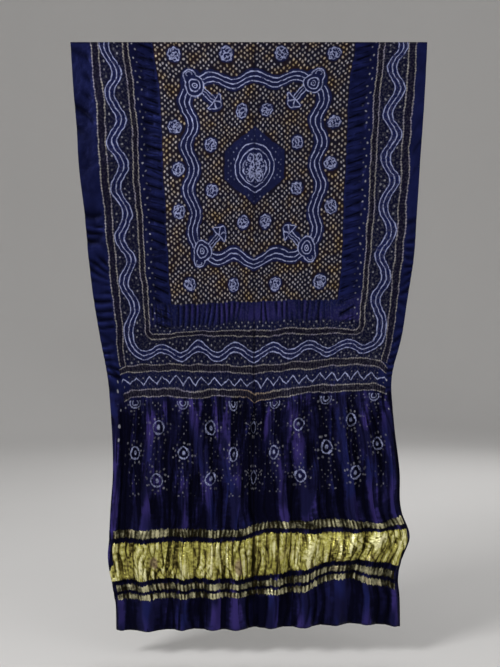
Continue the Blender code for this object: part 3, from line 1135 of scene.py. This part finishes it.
def rounded_corner(side, foot, radius):
    """Distance outside two lines that meet in a round corner, from the distances outside each."""
    side = side + radius
    foot = foot + radius
    return far(most(side, 0.0), most(foot, 0.0)) + least(most(side, foot), 0.0) - radius


def wave_distance(across, down):
    """Distance from the middle line of the border's wave, which rounds the lower corners."""
    side = across - WAVE_SIDE
    foot = down - WAVE_FOOT
    path = rounded_corner(side, foot, WAVE_CORNER)
    side_phase = (least(down, WAVE_SIDE_END) - WAVE_SIDE_START) * (2 * math.pi / WAVE_PERIOD)
    foot_phase = least(across, WAVE_FOOT_END) * (2 * math.pi / WAVE_PERIOD) + math.pi
    on_foot = (foot - side).through("GREATER_THAN", 0.0)
    swing = mix_numbers(on_foot, side_phase, foot_phase).through("COSINE")
    return swing.line(WAVE_SWING, path)


def beads_on(distance, along):
    """A fine tied line, with small dots run into it, where the distance is near 0."""
    beads = under(far(distance, repeat(along, BEAD_PITCH)), BEAD_RADIUS, edge=0.0014)
    return most(stroke(distance, 0.0023) * 0.80, beads)


def pair_of(distance, lines, along):
    """Two tied lines from the distance down or across, and 1 between them."""
    from_middle = distance - sum(lines) / 2
    half = (lines[1] - lines[0]) / 2
    return beads_on(abs(from_middle) - half, along), under(abs(from_middle), half)


def border_group(dots):
    """The border: its white wave and zigzag, the small dots in the free places, the beaded lines in
    pairs, the ground between them, the ground of the wave's strip, and the wave's own ground."""
    outlets = ("White", "Spots", "Beige", "Maroon", "Strip", "Wave")
    group, (across, down), result = new_group("Wavy border", ("Across", "Down"), outlets)

    half_inner = (INNER_LINES[1] - INNER_LINES[0]) / 2
    inner_side = across - sum(INNER_LINES) / 2
    inner_path = rounded_corner(inner_side, down - sum(INNER_FOOT_LINES) / 2, INNER_CORNER)
    inner = beads_on(abs(inner_path) - half_inner, across + down)
    inner_fill = under(abs(inner_path), half_inner)

    above_foot = under(down, OUTER_FOOT_LINES[0])
    outer, outer_fill = (mask * above_foot for mask in pair_of(across, OUTER_LINES, down))

    raised = down - over(across, LINE_END_DIP_FROM, edge=0.030) * LINE_END_DIP
    last_but_one, last = (pair_of(raised, lines, across) for lines in (OUTER_FOOT_LINES, LAST_LINES))
    inside_end = under(across, LAST_LINES_END)
    level_fill = most(last_but_one[1], last[1])
    stitches = stroke(repeat(across, STITCH_PITCH), 0.0022) * level_fill * 0.11

    wave_off = wave_distance(across, down)
    ridge = across.through("PINGPONG", ZIGZAG_PERIOD / 2) * (2 * ZIGZAG_SWING / (ZIGZAG_PERIOD / 2))
    in_zigzag = under(across, ZIGZAG_END)
    zigzag = stroke((raised - ZIGZAG_DOWN + ZIGZAG_SWING - ridge) * 0.74, 0.0027) * in_zigzag
    valley = far(repeat(across, ZIGZAG_PERIOD, ZIGZAG_PERIOD / 2), raised - ZIGZAG_DOWN + 0.0080)
    foot_of_peak = far(repeat(across, ZIGZAG_PERIOD), raised - ZIGZAG_DOWN - 0.0080)
    valley_dots = under(valley, 0.0019, edge=0.0014) * 0.7
    zigzag_dots = most(valley_dots, under(foot_of_peak, 0.0017, edge=0.0014) * 0.4) * in_zigzag

    side = use_group(dots, across - BEADS_ACROSS, down, *SIDE_BEADS)
    side_off = side["Centre Across"]
    side_path = most(abs(side_off) - 0.009, side["Centre Down"] - BEADS_FOOT)
    side_strength = (side["Chance"] * 0.6 + over(side_off, -0.003) * 0.8).share(0.8, -0.28)
    side_beads = side["Dot"] * under(side_path, 0.0) * side_strength
    foot = use_group(dots, across, down - BEADS_FOOT - 0.0045, *FOOT_BEADS)
    foot_path = most(abs(foot["Centre Down"] + 0.003) - 0.006, foot["Centre Across"] - 0.318)
    foot_beads = foot["Dot"] * under(foot_path, 0.0) * (foot["Chance"] * 0.8)

    filler = use_group(dots, across, down, *FILLER_DOTS)
    dot_across, dot_down = filler["Centre Across"], filler["Centre Down"]
    in_strip = most(dot_across - (OUTER_LINES[0] - 0.004), dot_down - (OUTER_FOOT_LINES[0] - 0.004))
    past_inner = most(dot_across - (INNER_LINES[1] + 0.004), dot_down - (INNER_FOOT_LINES[1] + 0.004))
    clear = abs(wave_distance(dot_across, dot_down)) - (1.5 * LINE_GAP + 0.0015)
    fill_mask = under(in_strip, 0.0) * over(past_inner, 0.0) * over(clear, 0.0)
    fillers = filler["Dot"] * fill_mask * (filler["Chance"] * 0.8 + 0.05)

    strip = under(most(across - OUTER_LINES[0], down - LAST_LINES[1]), 0.0)
    give(
        result,
        White=most(triple(wave_off), zigzag),
        Spots=most(side_beads, foot_beads, fillers, zigzag_dots),
        Beige=most(inner, outer, most(last_but_one[0], last[0], stitches) * inside_end),
        Maroon=most(inner_fill, outer_fill, level_fill * inside_end),
        Strip=strip * over(inner_path, -half_inner),
        Wave=under(abs(wave_off), 1.25 * LINE_GAP),
    )
    return group


def ring_group(dots):
    """The lower cloth: rings with an eye in staggered rows, and small dots round and between them."""
    group, (across, down), result = new_group("Ringed spots", ("Across", "Down"), ("White", "Small"))
    pull = (least(across, RING_PULL_ENDS) * (math.pi / RING_PULL_ENDS)).through("SINE") * RING_PULL
    pulled = across + pull
    lowered = down - RING_ROW_DOWN
    odd_x = repeat(pulled, RING_PITCH_ACROSS, RING_PITCH_ACROSS / 2)
    odd_y = repeat(lowered, RING_PITCH_DOWN, RING_PITCH_DOWN / 2)
    even_x = repeat(pulled, RING_PITCH_ACROSS)
    even_y = repeat(lowered, RING_PITCH_DOWN)
    odd = far(odd_x, odd_y)
    even = far(even_x, even_y)
    closer = odd.through("LESS_THAN", even)
    x = mix_numbers(closer, even_x, odd_x)
    y = mix_numbers(closer, even_y, odd_y)
    in_crease = under(across, CREASED_RING, edge=0.006) * over(down, HALF_RINGS_END)
    distance = least(odd, even) + in_crease * abs(x) * 0.55

    half_row = under(down, HALF_RINGS_END)
    whole = most(1 - half_row, over(down, HALF_RINGS_DOWN))
    here = between(down, LAST_LINES[1] + 0.003, RINGS_END) * whole * under(pulled - x, RINGS_OUTERMOST)
    angle = y.through("ARCTAN2", x)
    uneven = (angle * 3.0 + down * 45.0 + across * 31.0).through("SINE")
    rope = (angle * 13.0 + across * 40.0).through("SINE")
    thick = uneven.line(0.0007, rope.line(0.0005, 0.0022))
    gaps = (angle * 2.0 + across * 55.0 - down * 80.0).through("SINE").share(0.30, 0.82)
    ring = under(abs(distance - RING_RADIUS + uneven * 0.0008), thick) * gaps
    half_eye = under(abs(distance - HALF_RING_RADIUS + uneven * 0.0008), 0.0018) * half_row
    eye = under(far(x + 0.0010, y * 0.85), RING_EYE, edge=0.0028) * (1 - half_row) * (1 - in_crease)
    white = most(ring, eye, half_eye) * (1 - most(in_crease * 0.35, half_row * 0.20))

    cell = (pulled - x) * (7.0 / RING_PITCH_ACROSS) + (lowered - y) * (13.0 / RING_PITCH_DOWN)
    small = []
    for count, radius, size in RING_DOTS:
        sector = 2 * math.pi / count
        turn = angle * (1 / sector) + count
        aside, further, strength = chances(turn.through("FLOOR"), (cell * 2.0).through("ROUND"))
        beside = (turn.through("FRACT") - 0.5 + (aside - 0.5) * 0.5) * (sector * radius)
        out = distance - radius - (further - 0.5) * 0.0080
        small.append(under(far(out, beside), size, edge=0.0016) * (strength * 0.9 + 0.1))

    stray = use_group(dots, across, down, *STRAY_DOTS)
    from_gap = least(far(odd_x, even_y), far(even_x, odd_y))
    cluster = under(from_gap, 0.0200, edge=0.012) * over(stray["Chance"], 0.30, edge=0.05)
    lone = over(stray["Chance"], 0.90, edge=0.02) * over(distance, 0.0400)
    small.append(stray["Dot"] * most(cluster, lone) * 0.6)
    give(result, White=white * here, Small=most(*small) * here)
    return group


def gold_mask(signed_across, down):
    """1 on the woven gold bands."""
    bands = most(*[stroke(down - (top + foot) / 2, foot - top) for top, foot in GOLD_BANDS])
    wider = over(down, GOLD_REACHES_EDGE, edge=0.03) * under(down, GOLD_BANDS[1][1] + 0.004) * 0.03
    narrower = over(down, GOLD_BANDS[2][0] - 0.004) * 0.009
    past_left = signed_across * -1.0 - wider - GOLD_LEFT_END
    return bands * under(most(past_left, signed_across + narrower - GOLD_RIGHT_END), 0.0, edge=0.002)


# ----------------------------------------------------------------------------------------------
# The material
# ----------------------------------------------------------------------------------------------


def paint(share, under_colour, over_colour):
    """Lays one colour over another by a share."""
    node = share.tree.nodes.new("ShaderNodeMix")
    node.data_type = "RGBA"
    feed(node.inputs["Factor"], share)
    for inlet, colour in ((node.inputs["A"], under_colour), (node.inputs["B"], over_colour)):
        if isinstance(colour, bpy.types.NodeSocket):
            share.tree.links.new(colour, inlet)
        else:
            inlet.default_value = (*colour, 1.0)
    return node.outputs["Result"]


def layered(ground, *layers):
    """Lays colours over a ground in turn, each layer a share and a colour."""
    for share, colour in layers:
        ground = paint(share, ground, colour)
    return ground


def shade(share, *stops):
    """A run of colours by a share, each stop a place and a colour."""
    node = share.tree.nodes.new("ShaderNodeValToRGB")
    feed(node.inputs[0], share)
    ramp = node.color_ramp
    while len(ramp.elements) < len(stops):
        ramp.elements.new(0.5)
    for element, (place, colour) in zip(ramp.elements, stops):
        element.position = place
        element.color = (*colour, 1.0)
    return node.outputs[0]


def scaled(colour, share):
    """A darker or lighter colour of the same hue."""
    return tuple(share * part for part in colour)


def noise_node(tree, place, scale, detail=2.0, stretch=(1.0, 1.0)):
    """Soft noise over a place, as a node."""
    mapping = tree.nodes.new("ShaderNodeMapping")
    mapping.inputs["Scale"].default_value = (*stretch, 1.0)
    tree.links.new(place, mapping.inputs["Vector"])
    node = tree.nodes.new("ShaderNodeTexNoise")
    node.noise_dimensions = "2D"
    node.inputs["Scale"].default_value = scale
    node.inputs["Detail"].default_value = detail
    tree.links.new(mapping.outputs[0], node.inputs["Vector"])
    return node


class FlatCloth:
    """The material's node tree, with the places, masks and noises that its parts share."""

    def __init__(self, tree):
        self.tree = tree
        flat = tree.nodes.new("ShaderNodeUVMap")
        flat.uv_map = FLAT_MAP
        self.place = flat.outputs[0]
        self.signed_across, self.straight_down, _ = separate(tree, self.place, "XYZ")
        # Hand-tied lines wander a little from their drawn places.
        fine = separate(tree, noise_node(tree, self.place, 60.0, 1.0).outputs["Color"])
        broad = separate(tree, noise_node(tree, self.place, 16.0, 0.0).outputs["Color"])
        self.aside = self.signed_across + (fine[0] - 0.5) * 0.0050 + (broad[0] - 0.5) * 0.006
        self.down = self.straight_down + (fine[1] - 0.5) * 0.0050 + (broad[1] - 0.5) * 0.008
        self.across = abs(self.aside)

        self.cloudy = self.noise(9.0, 3.0)
        self.blotch = self.noise(22.0, 2.0)
        self.patchy = self.noise(29.0, 3.0, (1.0, 0.40))
        self.thread = self.noise(150.0, 2.0, (0.8, 1.0))
        self.streaky = self.noise(160.0, 2.0, (1.0, 0.12))
        self.lower = over(self.straight_down, LAST_LINES[1], edge=0.03)
        self.gold = gold_mask(self.aside, self.straight_down + self.streaky * 0.012)
        self.ruched, self.ruched_light = ruching(self)
        # Painted shade of the fine creases and of the ruching.
        self.deep = most(self.attribute(CREASE_SHADE), self.ruched)
        # Painted light and shade of the folds, creases and tones, as the mesh holds it.
        self.lit = self.attribute(LIT)

    def noise(self, scale, detail=2.0, stretch=(1.0, 1.0)):
        """Soft noise over the flat cloth, about 0 and mostly within a quarter of it."""
        node = noise_node(self.tree, self.place, scale, detail, stretch)
        return Number(self.tree, node.outputs[0]) - 0.5

    def attribute(self, name):
        """A number that the mesh holds at each point."""
        node = self.tree.nodes.new("ShaderNodeAttribute")
        node.attribute_name = name
        return Number(self.tree, node.outputs["Fac"])


def ruching(cloth):
    """How deep each point lies in the drawn threads' creases on both sides of the field, 0 to 1, and
    how high it lies on the rounds between them: painted shade in the creases, also a bump, and painted light
    on the rounds."""
    across = abs(cloth.signed_across)
    beside = over(across, FIELD_SIDE + 0.002, edge=0.008) * under(across, RUCHED_TO, edge=0.016)
    band = beside * under(cloth.straight_down, RUCHED_FOOT, edge=0.02)
    level = cloth.straight_down + across * RUCHED_SLOPE
    creases = []
    phases = []
    for pitch, scale, wander, width, strength in RUCHES:
        drift = cloth.noise(scale, 0.0, (0.6, 1.0)) * wander
        phase = abs((level * (1 / pitch) + drift).through("FRACT") - 0.5)
        fading = cloth.noise(2.4 * scale, 1.0).share(6.0, 0.85)
        creases.append(under(phase, width, edge=0.15) * fading * strength)
        phases.append(phase)
    # Broad furrows of painted shade.
    furrows = cloth.noise(52.0, 1.0, (0.30, 1.4)).share(5.0, 0.0)
    return most(*creases, furrows * 0.45) * band, (phases[0] - 0.25) * band


def sharp_folds(cloth, folds):
    """Painted light and shade of upright folds, about 0, each lighter to one side and ended by a sharp
    crease.
    """
    light = 0.0
    for pitch, scale, wander, share in folds:
        drift = cloth.noise(scale, 1.0, (1.0, 0.45)) * wander
        phase = (cloth.signed_across * (1 / pitch) + cloth.straight_down * 1.2 + drift).through("FRACT")
        strength = cloth.noise(1.8 * scale, 1.0, (1.0, 0.5)).share(5.0, 0.55)
        light = (phase - 0.5) * under(phase, 0.94, edge=0.08) * strength * share + light
    return light


def silk_ground(cloth, colours, field, border):
    """The silk before its dots and lines: plain cloth with painted light and shade, painted highlights
    on the ridges of the folds, and the grounds of field and border.
    """
    straight_down, lower = cloth.straight_down, cloth.lower
    # The silk's painted light: the folds' painted light, painted sharp folds and the ruching's painted light,
    # with fine crinkles and some random unevenness of tone.
    crinkle = cloth.noise(110.0, 1.0, (0.35, 1.0)) * lower
    uneven = crinkle * 0.45 + cloth.cloudy * 0.12 + cloth.streaky * lower.line(0.25, 0.10)
    folds = (sharp_folds(cloth, SILK_FOLDS) + cloth.patchy * 1.2) * lower
    silk = (cloth.lit - lower * 0.04 + uneven + cloth.ruched_light * 0.5 + folds).share(1.0, 0.0)
    # Lit and shaded copies of the navy, and of the night of the lower cloth: painted light and shade.
    lightest = scaled(colours.navy, 2.2)
    plain = shade(silk, (0.05, scaled(colours.night, 0.25)), (0.50, colours.navy), (1.0, lightest))
    night = shade(silk, (0.10, scaled(colours.night, 0.75)), (0.60, scaled(colours.night, 3.0)))

    inside = under(cloth.across, INNER_LINES[0])
    beside = over(cloth.across, RUCHED_FROM, edge=0.02) * under(straight_down, INNER_FOOT_LINES[0])
    gathers = over(straight_down, GATHERS[0], edge=0.02) * under(straight_down, GATHERS[1], edge=0.012)
    gathered = gathers * inside
    beaded = over(cloth.down, BEADED_FROM, edge=0.012) * under(cloth.down, INNER_FOOT_LINES[0])
    bead_ground = beaded * inside
    # Painted shade over the ruched silk beside the field and the gathered silk below it.
    plain = paint(most(beside * inside * 0.5, gathered * 0.3), plain, colours.night)

    # Painted highlight on the ridges of the folds, broken into spindles over the lower cloth.
    spindles = cloth.noise(22.0, 1.0, (1.0, 0.38)).share(7.0, 0.75)
    glint = silk.share(3.2, -1.50) * ((spindles - 1.0) * lower + 1.0)
    hue = cloth.noise(6.0, 1.0).share(5.0, 0.70)
    strip_share = over(straight_down, STRIP_FADES_FROM, edge=0.06).line(-0.40, 0.85)
    field_ground = paint(cloth.blotch.share(3.0, 0.30) * 0.7, colours.field, colours.brown)
    speckle = cloth.noise(170.0, 0.0).share(8.0, -0.10)
    bordered = most(border["Strip"], border["Maroon"] * 0.7, gathered * 0.5, bead_ground)
    return layered(
        paint(lower, plain, night),
        (glint * most(gathered * 0.75, lower), paint(hue, colours.blue_sheen, colours.sheen)),
        (bead_ground * 0.60, colours.strip),
        (border["Strip"] * (1 - border["Wave"]) * strip_share, colours.strip),
        (field["Ground"] * (1 - field["Halo"]), field_ground),
        (border["Maroon"] * 0.9, colours.maroon),
        (field["Ground"] * field["Halo"] * 0.4, colours.dusk),
        (field["Pale"] * speckle * 0.60, colours.white),
        (bordered * speckle * over(cloth.signed_across, 0.20, edge=0.20).line(0.03, 0.05), colours.grey),
    )


def tied_pattern(cloth, colours, ground, field, border, rings):
    """Lays the tied dots, lines and rings over the ground."""
    worn = cloth.noise(70.0, 1.0)
    flecks = cloth.noise(260.0, 1.0)
    line_colour = paint(cloth.blotch.share(4.0, 0.30), colours.grey_beige, colours.grey_violet)
    bled = under(far(cloth.across, (cloth.down - BLED_DOWN) * 1.6), BLED_HALF_WIDTH, edge=0.05)
    line_colour = paint(bled * 0.8, line_colour, colours.copper)
    low = over(cloth.straight_down, LOW_LINES_FROM, edge=0.05)
    line_share = (worn * 1.6 + flecks).share(1.0, 0.78) * (1 - low * 0.13)
    white = most(field["White"] * 0.96, border["White"] * low.line(0.11, 0.87), rings["White"])
    white_share = (flecks * 1.6 + worn * 1.8).share(1.0, 0.79)
    spots = most(border["Spots"], rings["Small"] * 0.60)
    for at_across, at_down, radius in SELVAGE_DOTS:
        spot = far(cloth.aside - at_across, (cloth.down - at_down) * 0.7)
        spots = most(spots, under(spot, radius, edge=0.0016))
    return layered(
        ground,
        (field["Dots"].through("POWER", 0.45) * 0.55, colours.ochre),
        (field["Dots"], paint(cloth.blotch.share(3.0, 0.30), colours.beige, colours.rust)),
        (border["Beige"] * line_share, line_colour),
        (white * white_share, colours.white),
        (spots, colours.grey),
    )


def woven_gold(cloth, colours):
    """Metal thread of the bands: a painted highlight on the ridges and painted brown shade in the folds,
    and copper where rubbed.
    """
    top, foot = GOLD_BANDS[1]
    wide_band = stroke(cloth.straight_down - (top + foot) / 2, foot - top + 0.010)
    broken = cloth.patchy * wide_band.line(-1.3, 1.8)
    grain = cloth.thread * wide_band.line(-0.17, 0.55)
    pleats = sharp_folds(cloth, GOLD_FOLDS)
    # Painted light of the gold: the folds' painted light, the pleats' painted light and shade and the
    # creases' painted shade, with random grain and patches.
    shine = (cloth.lit + grain + broken + pleats * 0.66 - cloth.deep * 0.40).share(1.0, 0.04)
    # Lit and shaded copies of the gold, from painted shade to painted highlight.
    wide = shade(
        shine,
        (0.05, scaled(colours.gold, 0.03)),
        (0.26, colours.shaded_gold),
        (0.56, scaled(colours.gold, 0.88)),
        (0.88, colours.bright_gold),
    )
    # Lit and shaded copies of the strips' pale gold: painted light and shade.
    narrow = shade(
        shine,
        (0.10, scaled(colours.pale_gold, 0.02)),
        (0.36, scaled(colours.pale_gold, 0.22)),
        (0.85, scaled(colours.pale_gold, 1.22)),
    )
    rubbed = cloth.noise(18.0, 2.0).share(9.0, -1.3) * 0.65 * shine
    for at_across, at_down in RUBBED_SPOTS:
        spot = far((cloth.signed_across - at_across) * 1.5, cloth.straight_down - at_down)
        rubbed = most(rubbed, under(spot + cloth.patchy * 0.03, RUBBED_RADIUS, edge=0.008) * 0.85)
    return paint(rubbed, paint(wide_band, narrow, wide), colours.copper)


def surface_height(cloth):
    """Height of the weave, the tied puckers and the gold's pleats, for the fine relief."""
    silk = cloth.noise(130.0, 2.0) * 0.35 - cloth.ruched * 0.9
    gold = cloth.noise(170.0, 2.0, (1.0, 0.30)) * 1.6 + cloth.noise(260.0, 1.0, (0.30, 1.0)) * 1.2
    return mix_numbers(cloth.gold, silk, gold) + cloth.noise(900.0, 1.0, (1.0, 0.6)) * 0.10


def cloth_material(colours):
    """Tie-dyed silk with woven gold bands, and painted light and shade on their folds and creases."""
    material = bpy.data.materials.new("Bandhani silk")
    material.use_nodes = True
    tree = material.node_tree
    shader = tree.nodes["Principled BSDF"]
    cloth = FlatCloth(tree)
    dots = dot_group()
    groups = (field_group(dots, clearance_group()), border_group(dots), ring_group(dots))
    field, border, rings = (use_group(group, cloth.across, cloth.down) for group in groups)

    ground = silk_ground(cloth, colours, field, border)
    dyed = tied_pattern(cloth, colours, ground, field, border, rings)
    colour = paint(cloth.gold, dyed, woven_gold(cloth, colours))
    # Painted shade in the creases of silk and gold: the colour is darkened towards these shade colours by how
    # deep each point lies.
    shadow = paint(cloth.gold, scaled(colours.night, 0.1), colours.gold_crease_shadow)
    tree.links.new(paint(cloth.deep * 0.88, colour, shadow), shader.inputs["Base Color"])
    feed(shader.inputs["Metallic"], cloth.gold.line(0.15, 0.45))
    rough = mix_numbers(cloth.gold, cloth.cloudy.line(0.3, 0.42), cloth.thread.line(0.4, 0.36))
    feed(shader.inputs["Roughness"], rough)
    shader.inputs["Specular IOR Level"].default_value = 0.03

    relief = tree.nodes.new("ShaderNodeBump")
    relief.inputs["Distance"].default_value = 0.0016
    relief.inputs["Strength"].default_value = 0.7
    feed(relief.inputs["Height"], surface_height(cloth))
    tree.links.new(relief.outputs[0], shader.inputs["Normal"])
    return material


class CLOTH_OT_hang(Operator):
    """Hang the bandhani cloth in its folds, dye it and paint the light and shade of its folds"""

    bl_idname = "cloth.hang_bandhani"
    bl_label = "Hang cloth"

    def execute(self, context):
        cloth = hang_cloth(context.scene.cloth_sizes)
        cloth.data.materials.append(cloth_material(context.scene.dye_colours))
        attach(cloth, "root")
        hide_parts(CLOTH_NODE)
        return {"FINISHED"}


# ----------------------------------------------------------------------------------------------
# The studio
# ----------------------------------------------------------------------------------------------

COVE_RADIUS = 7.0
COVE_HEIGHT = 6.5
COVE_BEND = 2.2
LENS = 50.0
SENSOR = 36.0
VIEW_CENTRE = (-0.0101, -0.738)  # x and z of the middle of the picture, in the cloth's plane
VIEW_HEIGHT = 1.689              # height that the picture takes in at the cloth's plane

KEY_PLACE = (-2.6, -2.4, 1.5)
FILL_PLACE = (2.8, -2.6, 0.2)
BACK_PLACE = (1.5, 3.2, 1.4)
LIGHT_AIM = (0.0, 0.0, -0.75)
KEY_SIZE = 1.3
FILL_SIZE = 2.4


def studio_material(colour):
    """Plain pale paint with a very slight mottle."""
    material = bpy.data.materials.new("Pale floor")
    material.use_nodes = True
    tree = material.node_tree
    shader = tree.nodes["Principled BSDF"]
    place = tree.nodes.new("ShaderNodeTexCoord").outputs["Object"]
    mottle = Number(tree, noise_node(tree, place, 1.5).outputs[0])
    tree.links.new(paint(mottle, scaled(colour, 0.97), tuple(colour)), shader.inputs["Base Color"])
    shader.inputs["Roughness"].default_value = 0.9
    return material


def add_cove(look):
    """A round pale floor that bends up into a wall."""
    bpy.ops.object.select_all(action="DESELECT")
    bpy.ops.mesh.primitive_cylinder_add(
        vertices=96,
        radius=COVE_RADIUS,
        depth=COVE_HEIGHT,
        end_fill_type="NGON",
        location=(0, 0, COVE_HEIGHT / 2 - look.floor_drop),
    )
    cove = bpy.context.object
    cove.name = "studio_cove"
    bpy.ops.object.transform_apply(location=True, rotation=True, scale=True)
    bpy.ops.object.mode_set(mode="EDIT")
    shape = bmesh.from_edit_mesh(cove.data)
    for face in shape.faces:
        face.select_set(face.normal.z > 0.5)
    bmesh.update_edit_mesh(cove.data)
    bpy.ops.mesh.delete(type="FACE")
    shape = bmesh.from_edit_mesh(cove.data)
    for edge in shape.edges:
        low = all(corner.co.z < -look.floor_drop + 0.001 for corner in edge.verts)
        edge.select_set(low)
    bmesh.update_edit_mesh(cove.data)
    bpy.ops.mesh.bevel(offset=COVE_BEND, segments=18, profile=0.5)
    bpy.ops.mesh.select_all(action="SELECT")
    bpy.ops.mesh.flip_normals()
    bpy.ops.object.mode_set(mode="OBJECT")
    bpy.ops.object.shade_smooth()
    cove.data.materials.append(studio_material(look.floor_colour))


def add_light(name, place, size, power):
    """A soft square light aimed at the cloth."""
    bpy.ops.object.select_all(action="DESELECT")
    bpy.ops.object.light_add(type="AREA", location=place)
    light = bpy.context.object
    light.name = name
    light.data.size = size
    light.data.energy = power
    light.visible_camera = False
    aim = [there - here for there, here in zip(LIGHT_AIM, place)]
    turn = math.atan2(aim[0], -aim[1])
    tilt = math.atan2(math.hypot(aim[0], aim[1]), -aim[2])
    light.rotation_euler = (tilt, 0.0, turn + math.pi)


def add_camera():
    """The camera looks straight at the cloth's face."""
    distance = VIEW_HEIGHT * LENS / SENSOR
    bpy.ops.object.camera_add(
        location=(VIEW_CENTRE[0], -distance, VIEW_CENTRE[1]), rotation=(math.pi / 2, 0.0, 0.0)
    )
    camera = bpy.context.object
    camera.data.lens = LENS
    camera.data.sensor_width = SENSOR
    bpy.context.scene.camera = camera


class STUDIO_OT_set(Operator):
    """Set the pale floor, the soft lights and the camera"""

    bl_idname = "studio.set_bandhani"
    bl_label = "Set studio"

    def execute(self, context):
        look = context.scene.studio_look
        add_cove(look)
        add_light("key_light", KEY_PLACE, KEY_SIZE, look.key_power)
        add_light("fill_light", FILL_PLACE, FILL_SIZE, look.fill_power)
        add_light("back_light", BACK_PLACE, FILL_SIZE, look.key_power / 2)
        world = bpy.data.worlds.new("Pale air")
        world.use_nodes = True
        world.node_tree.nodes["Background"].inputs["Color"].default_value = (1.0, 1.0, 1.0, 1.0)
        world.node_tree.nodes["Background"].inputs["Strength"].default_value = 0.45
        context.scene.world = world
        context.scene.view_settings.view_transform = "Standard"
        add_camera()
        return {"FINISHED"}


class VIEW3D_PT_bandhani(Panel):
    """Sizes, colours and studio of the bandhani cloth"""

    bl_label = "Bandhani cloth"
    bl_space_type = "VIEW_3D"
    bl_region_type = "UI"
    bl_category = "Bandhani"

    def draw(self, context):
        layout = self.layout
        scene = context.scene
        for settings in (scene.cloth_sizes, scene.dye_colours, scene.studio_look):
            for name in settings.__annotations__:
                layout.prop(settings, name)
        layout.operator(CLOTH_OT_hang.bl_idname)
        layout.operator(STUDIO_OT_set.bl_idname)


CLASSES = (ClothSizes, DyeAndLightColours, StudioLook, CLOTH_OT_hang, STUDIO_OT_set, VIEW3D_PT_bandhani)


def register():
    for part in CLASSES:
        bpy.utils.register_class(part)
    bpy.types.Scene.cloth_sizes = PointerProperty(type=ClothSizes)
    bpy.types.Scene.dye_colours = PointerProperty(type=DyeAndLightColours)
    bpy.types.Scene.studio_look = PointerProperty(type=StudioLook)


def unregister():
    del bpy.types.Scene.studio_look
    del bpy.types.Scene.dye_colours
    del bpy.types.Scene.cloth_sizes
    for part in reversed(CLASSES):
        bpy.utils.unregister_class(part)


def main():
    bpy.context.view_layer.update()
    register()
    bpy.ops.studio.set_bandhani()
    bpy.ops.cloth.hang_bandhani()


if __name__ == "__main__":
    main()
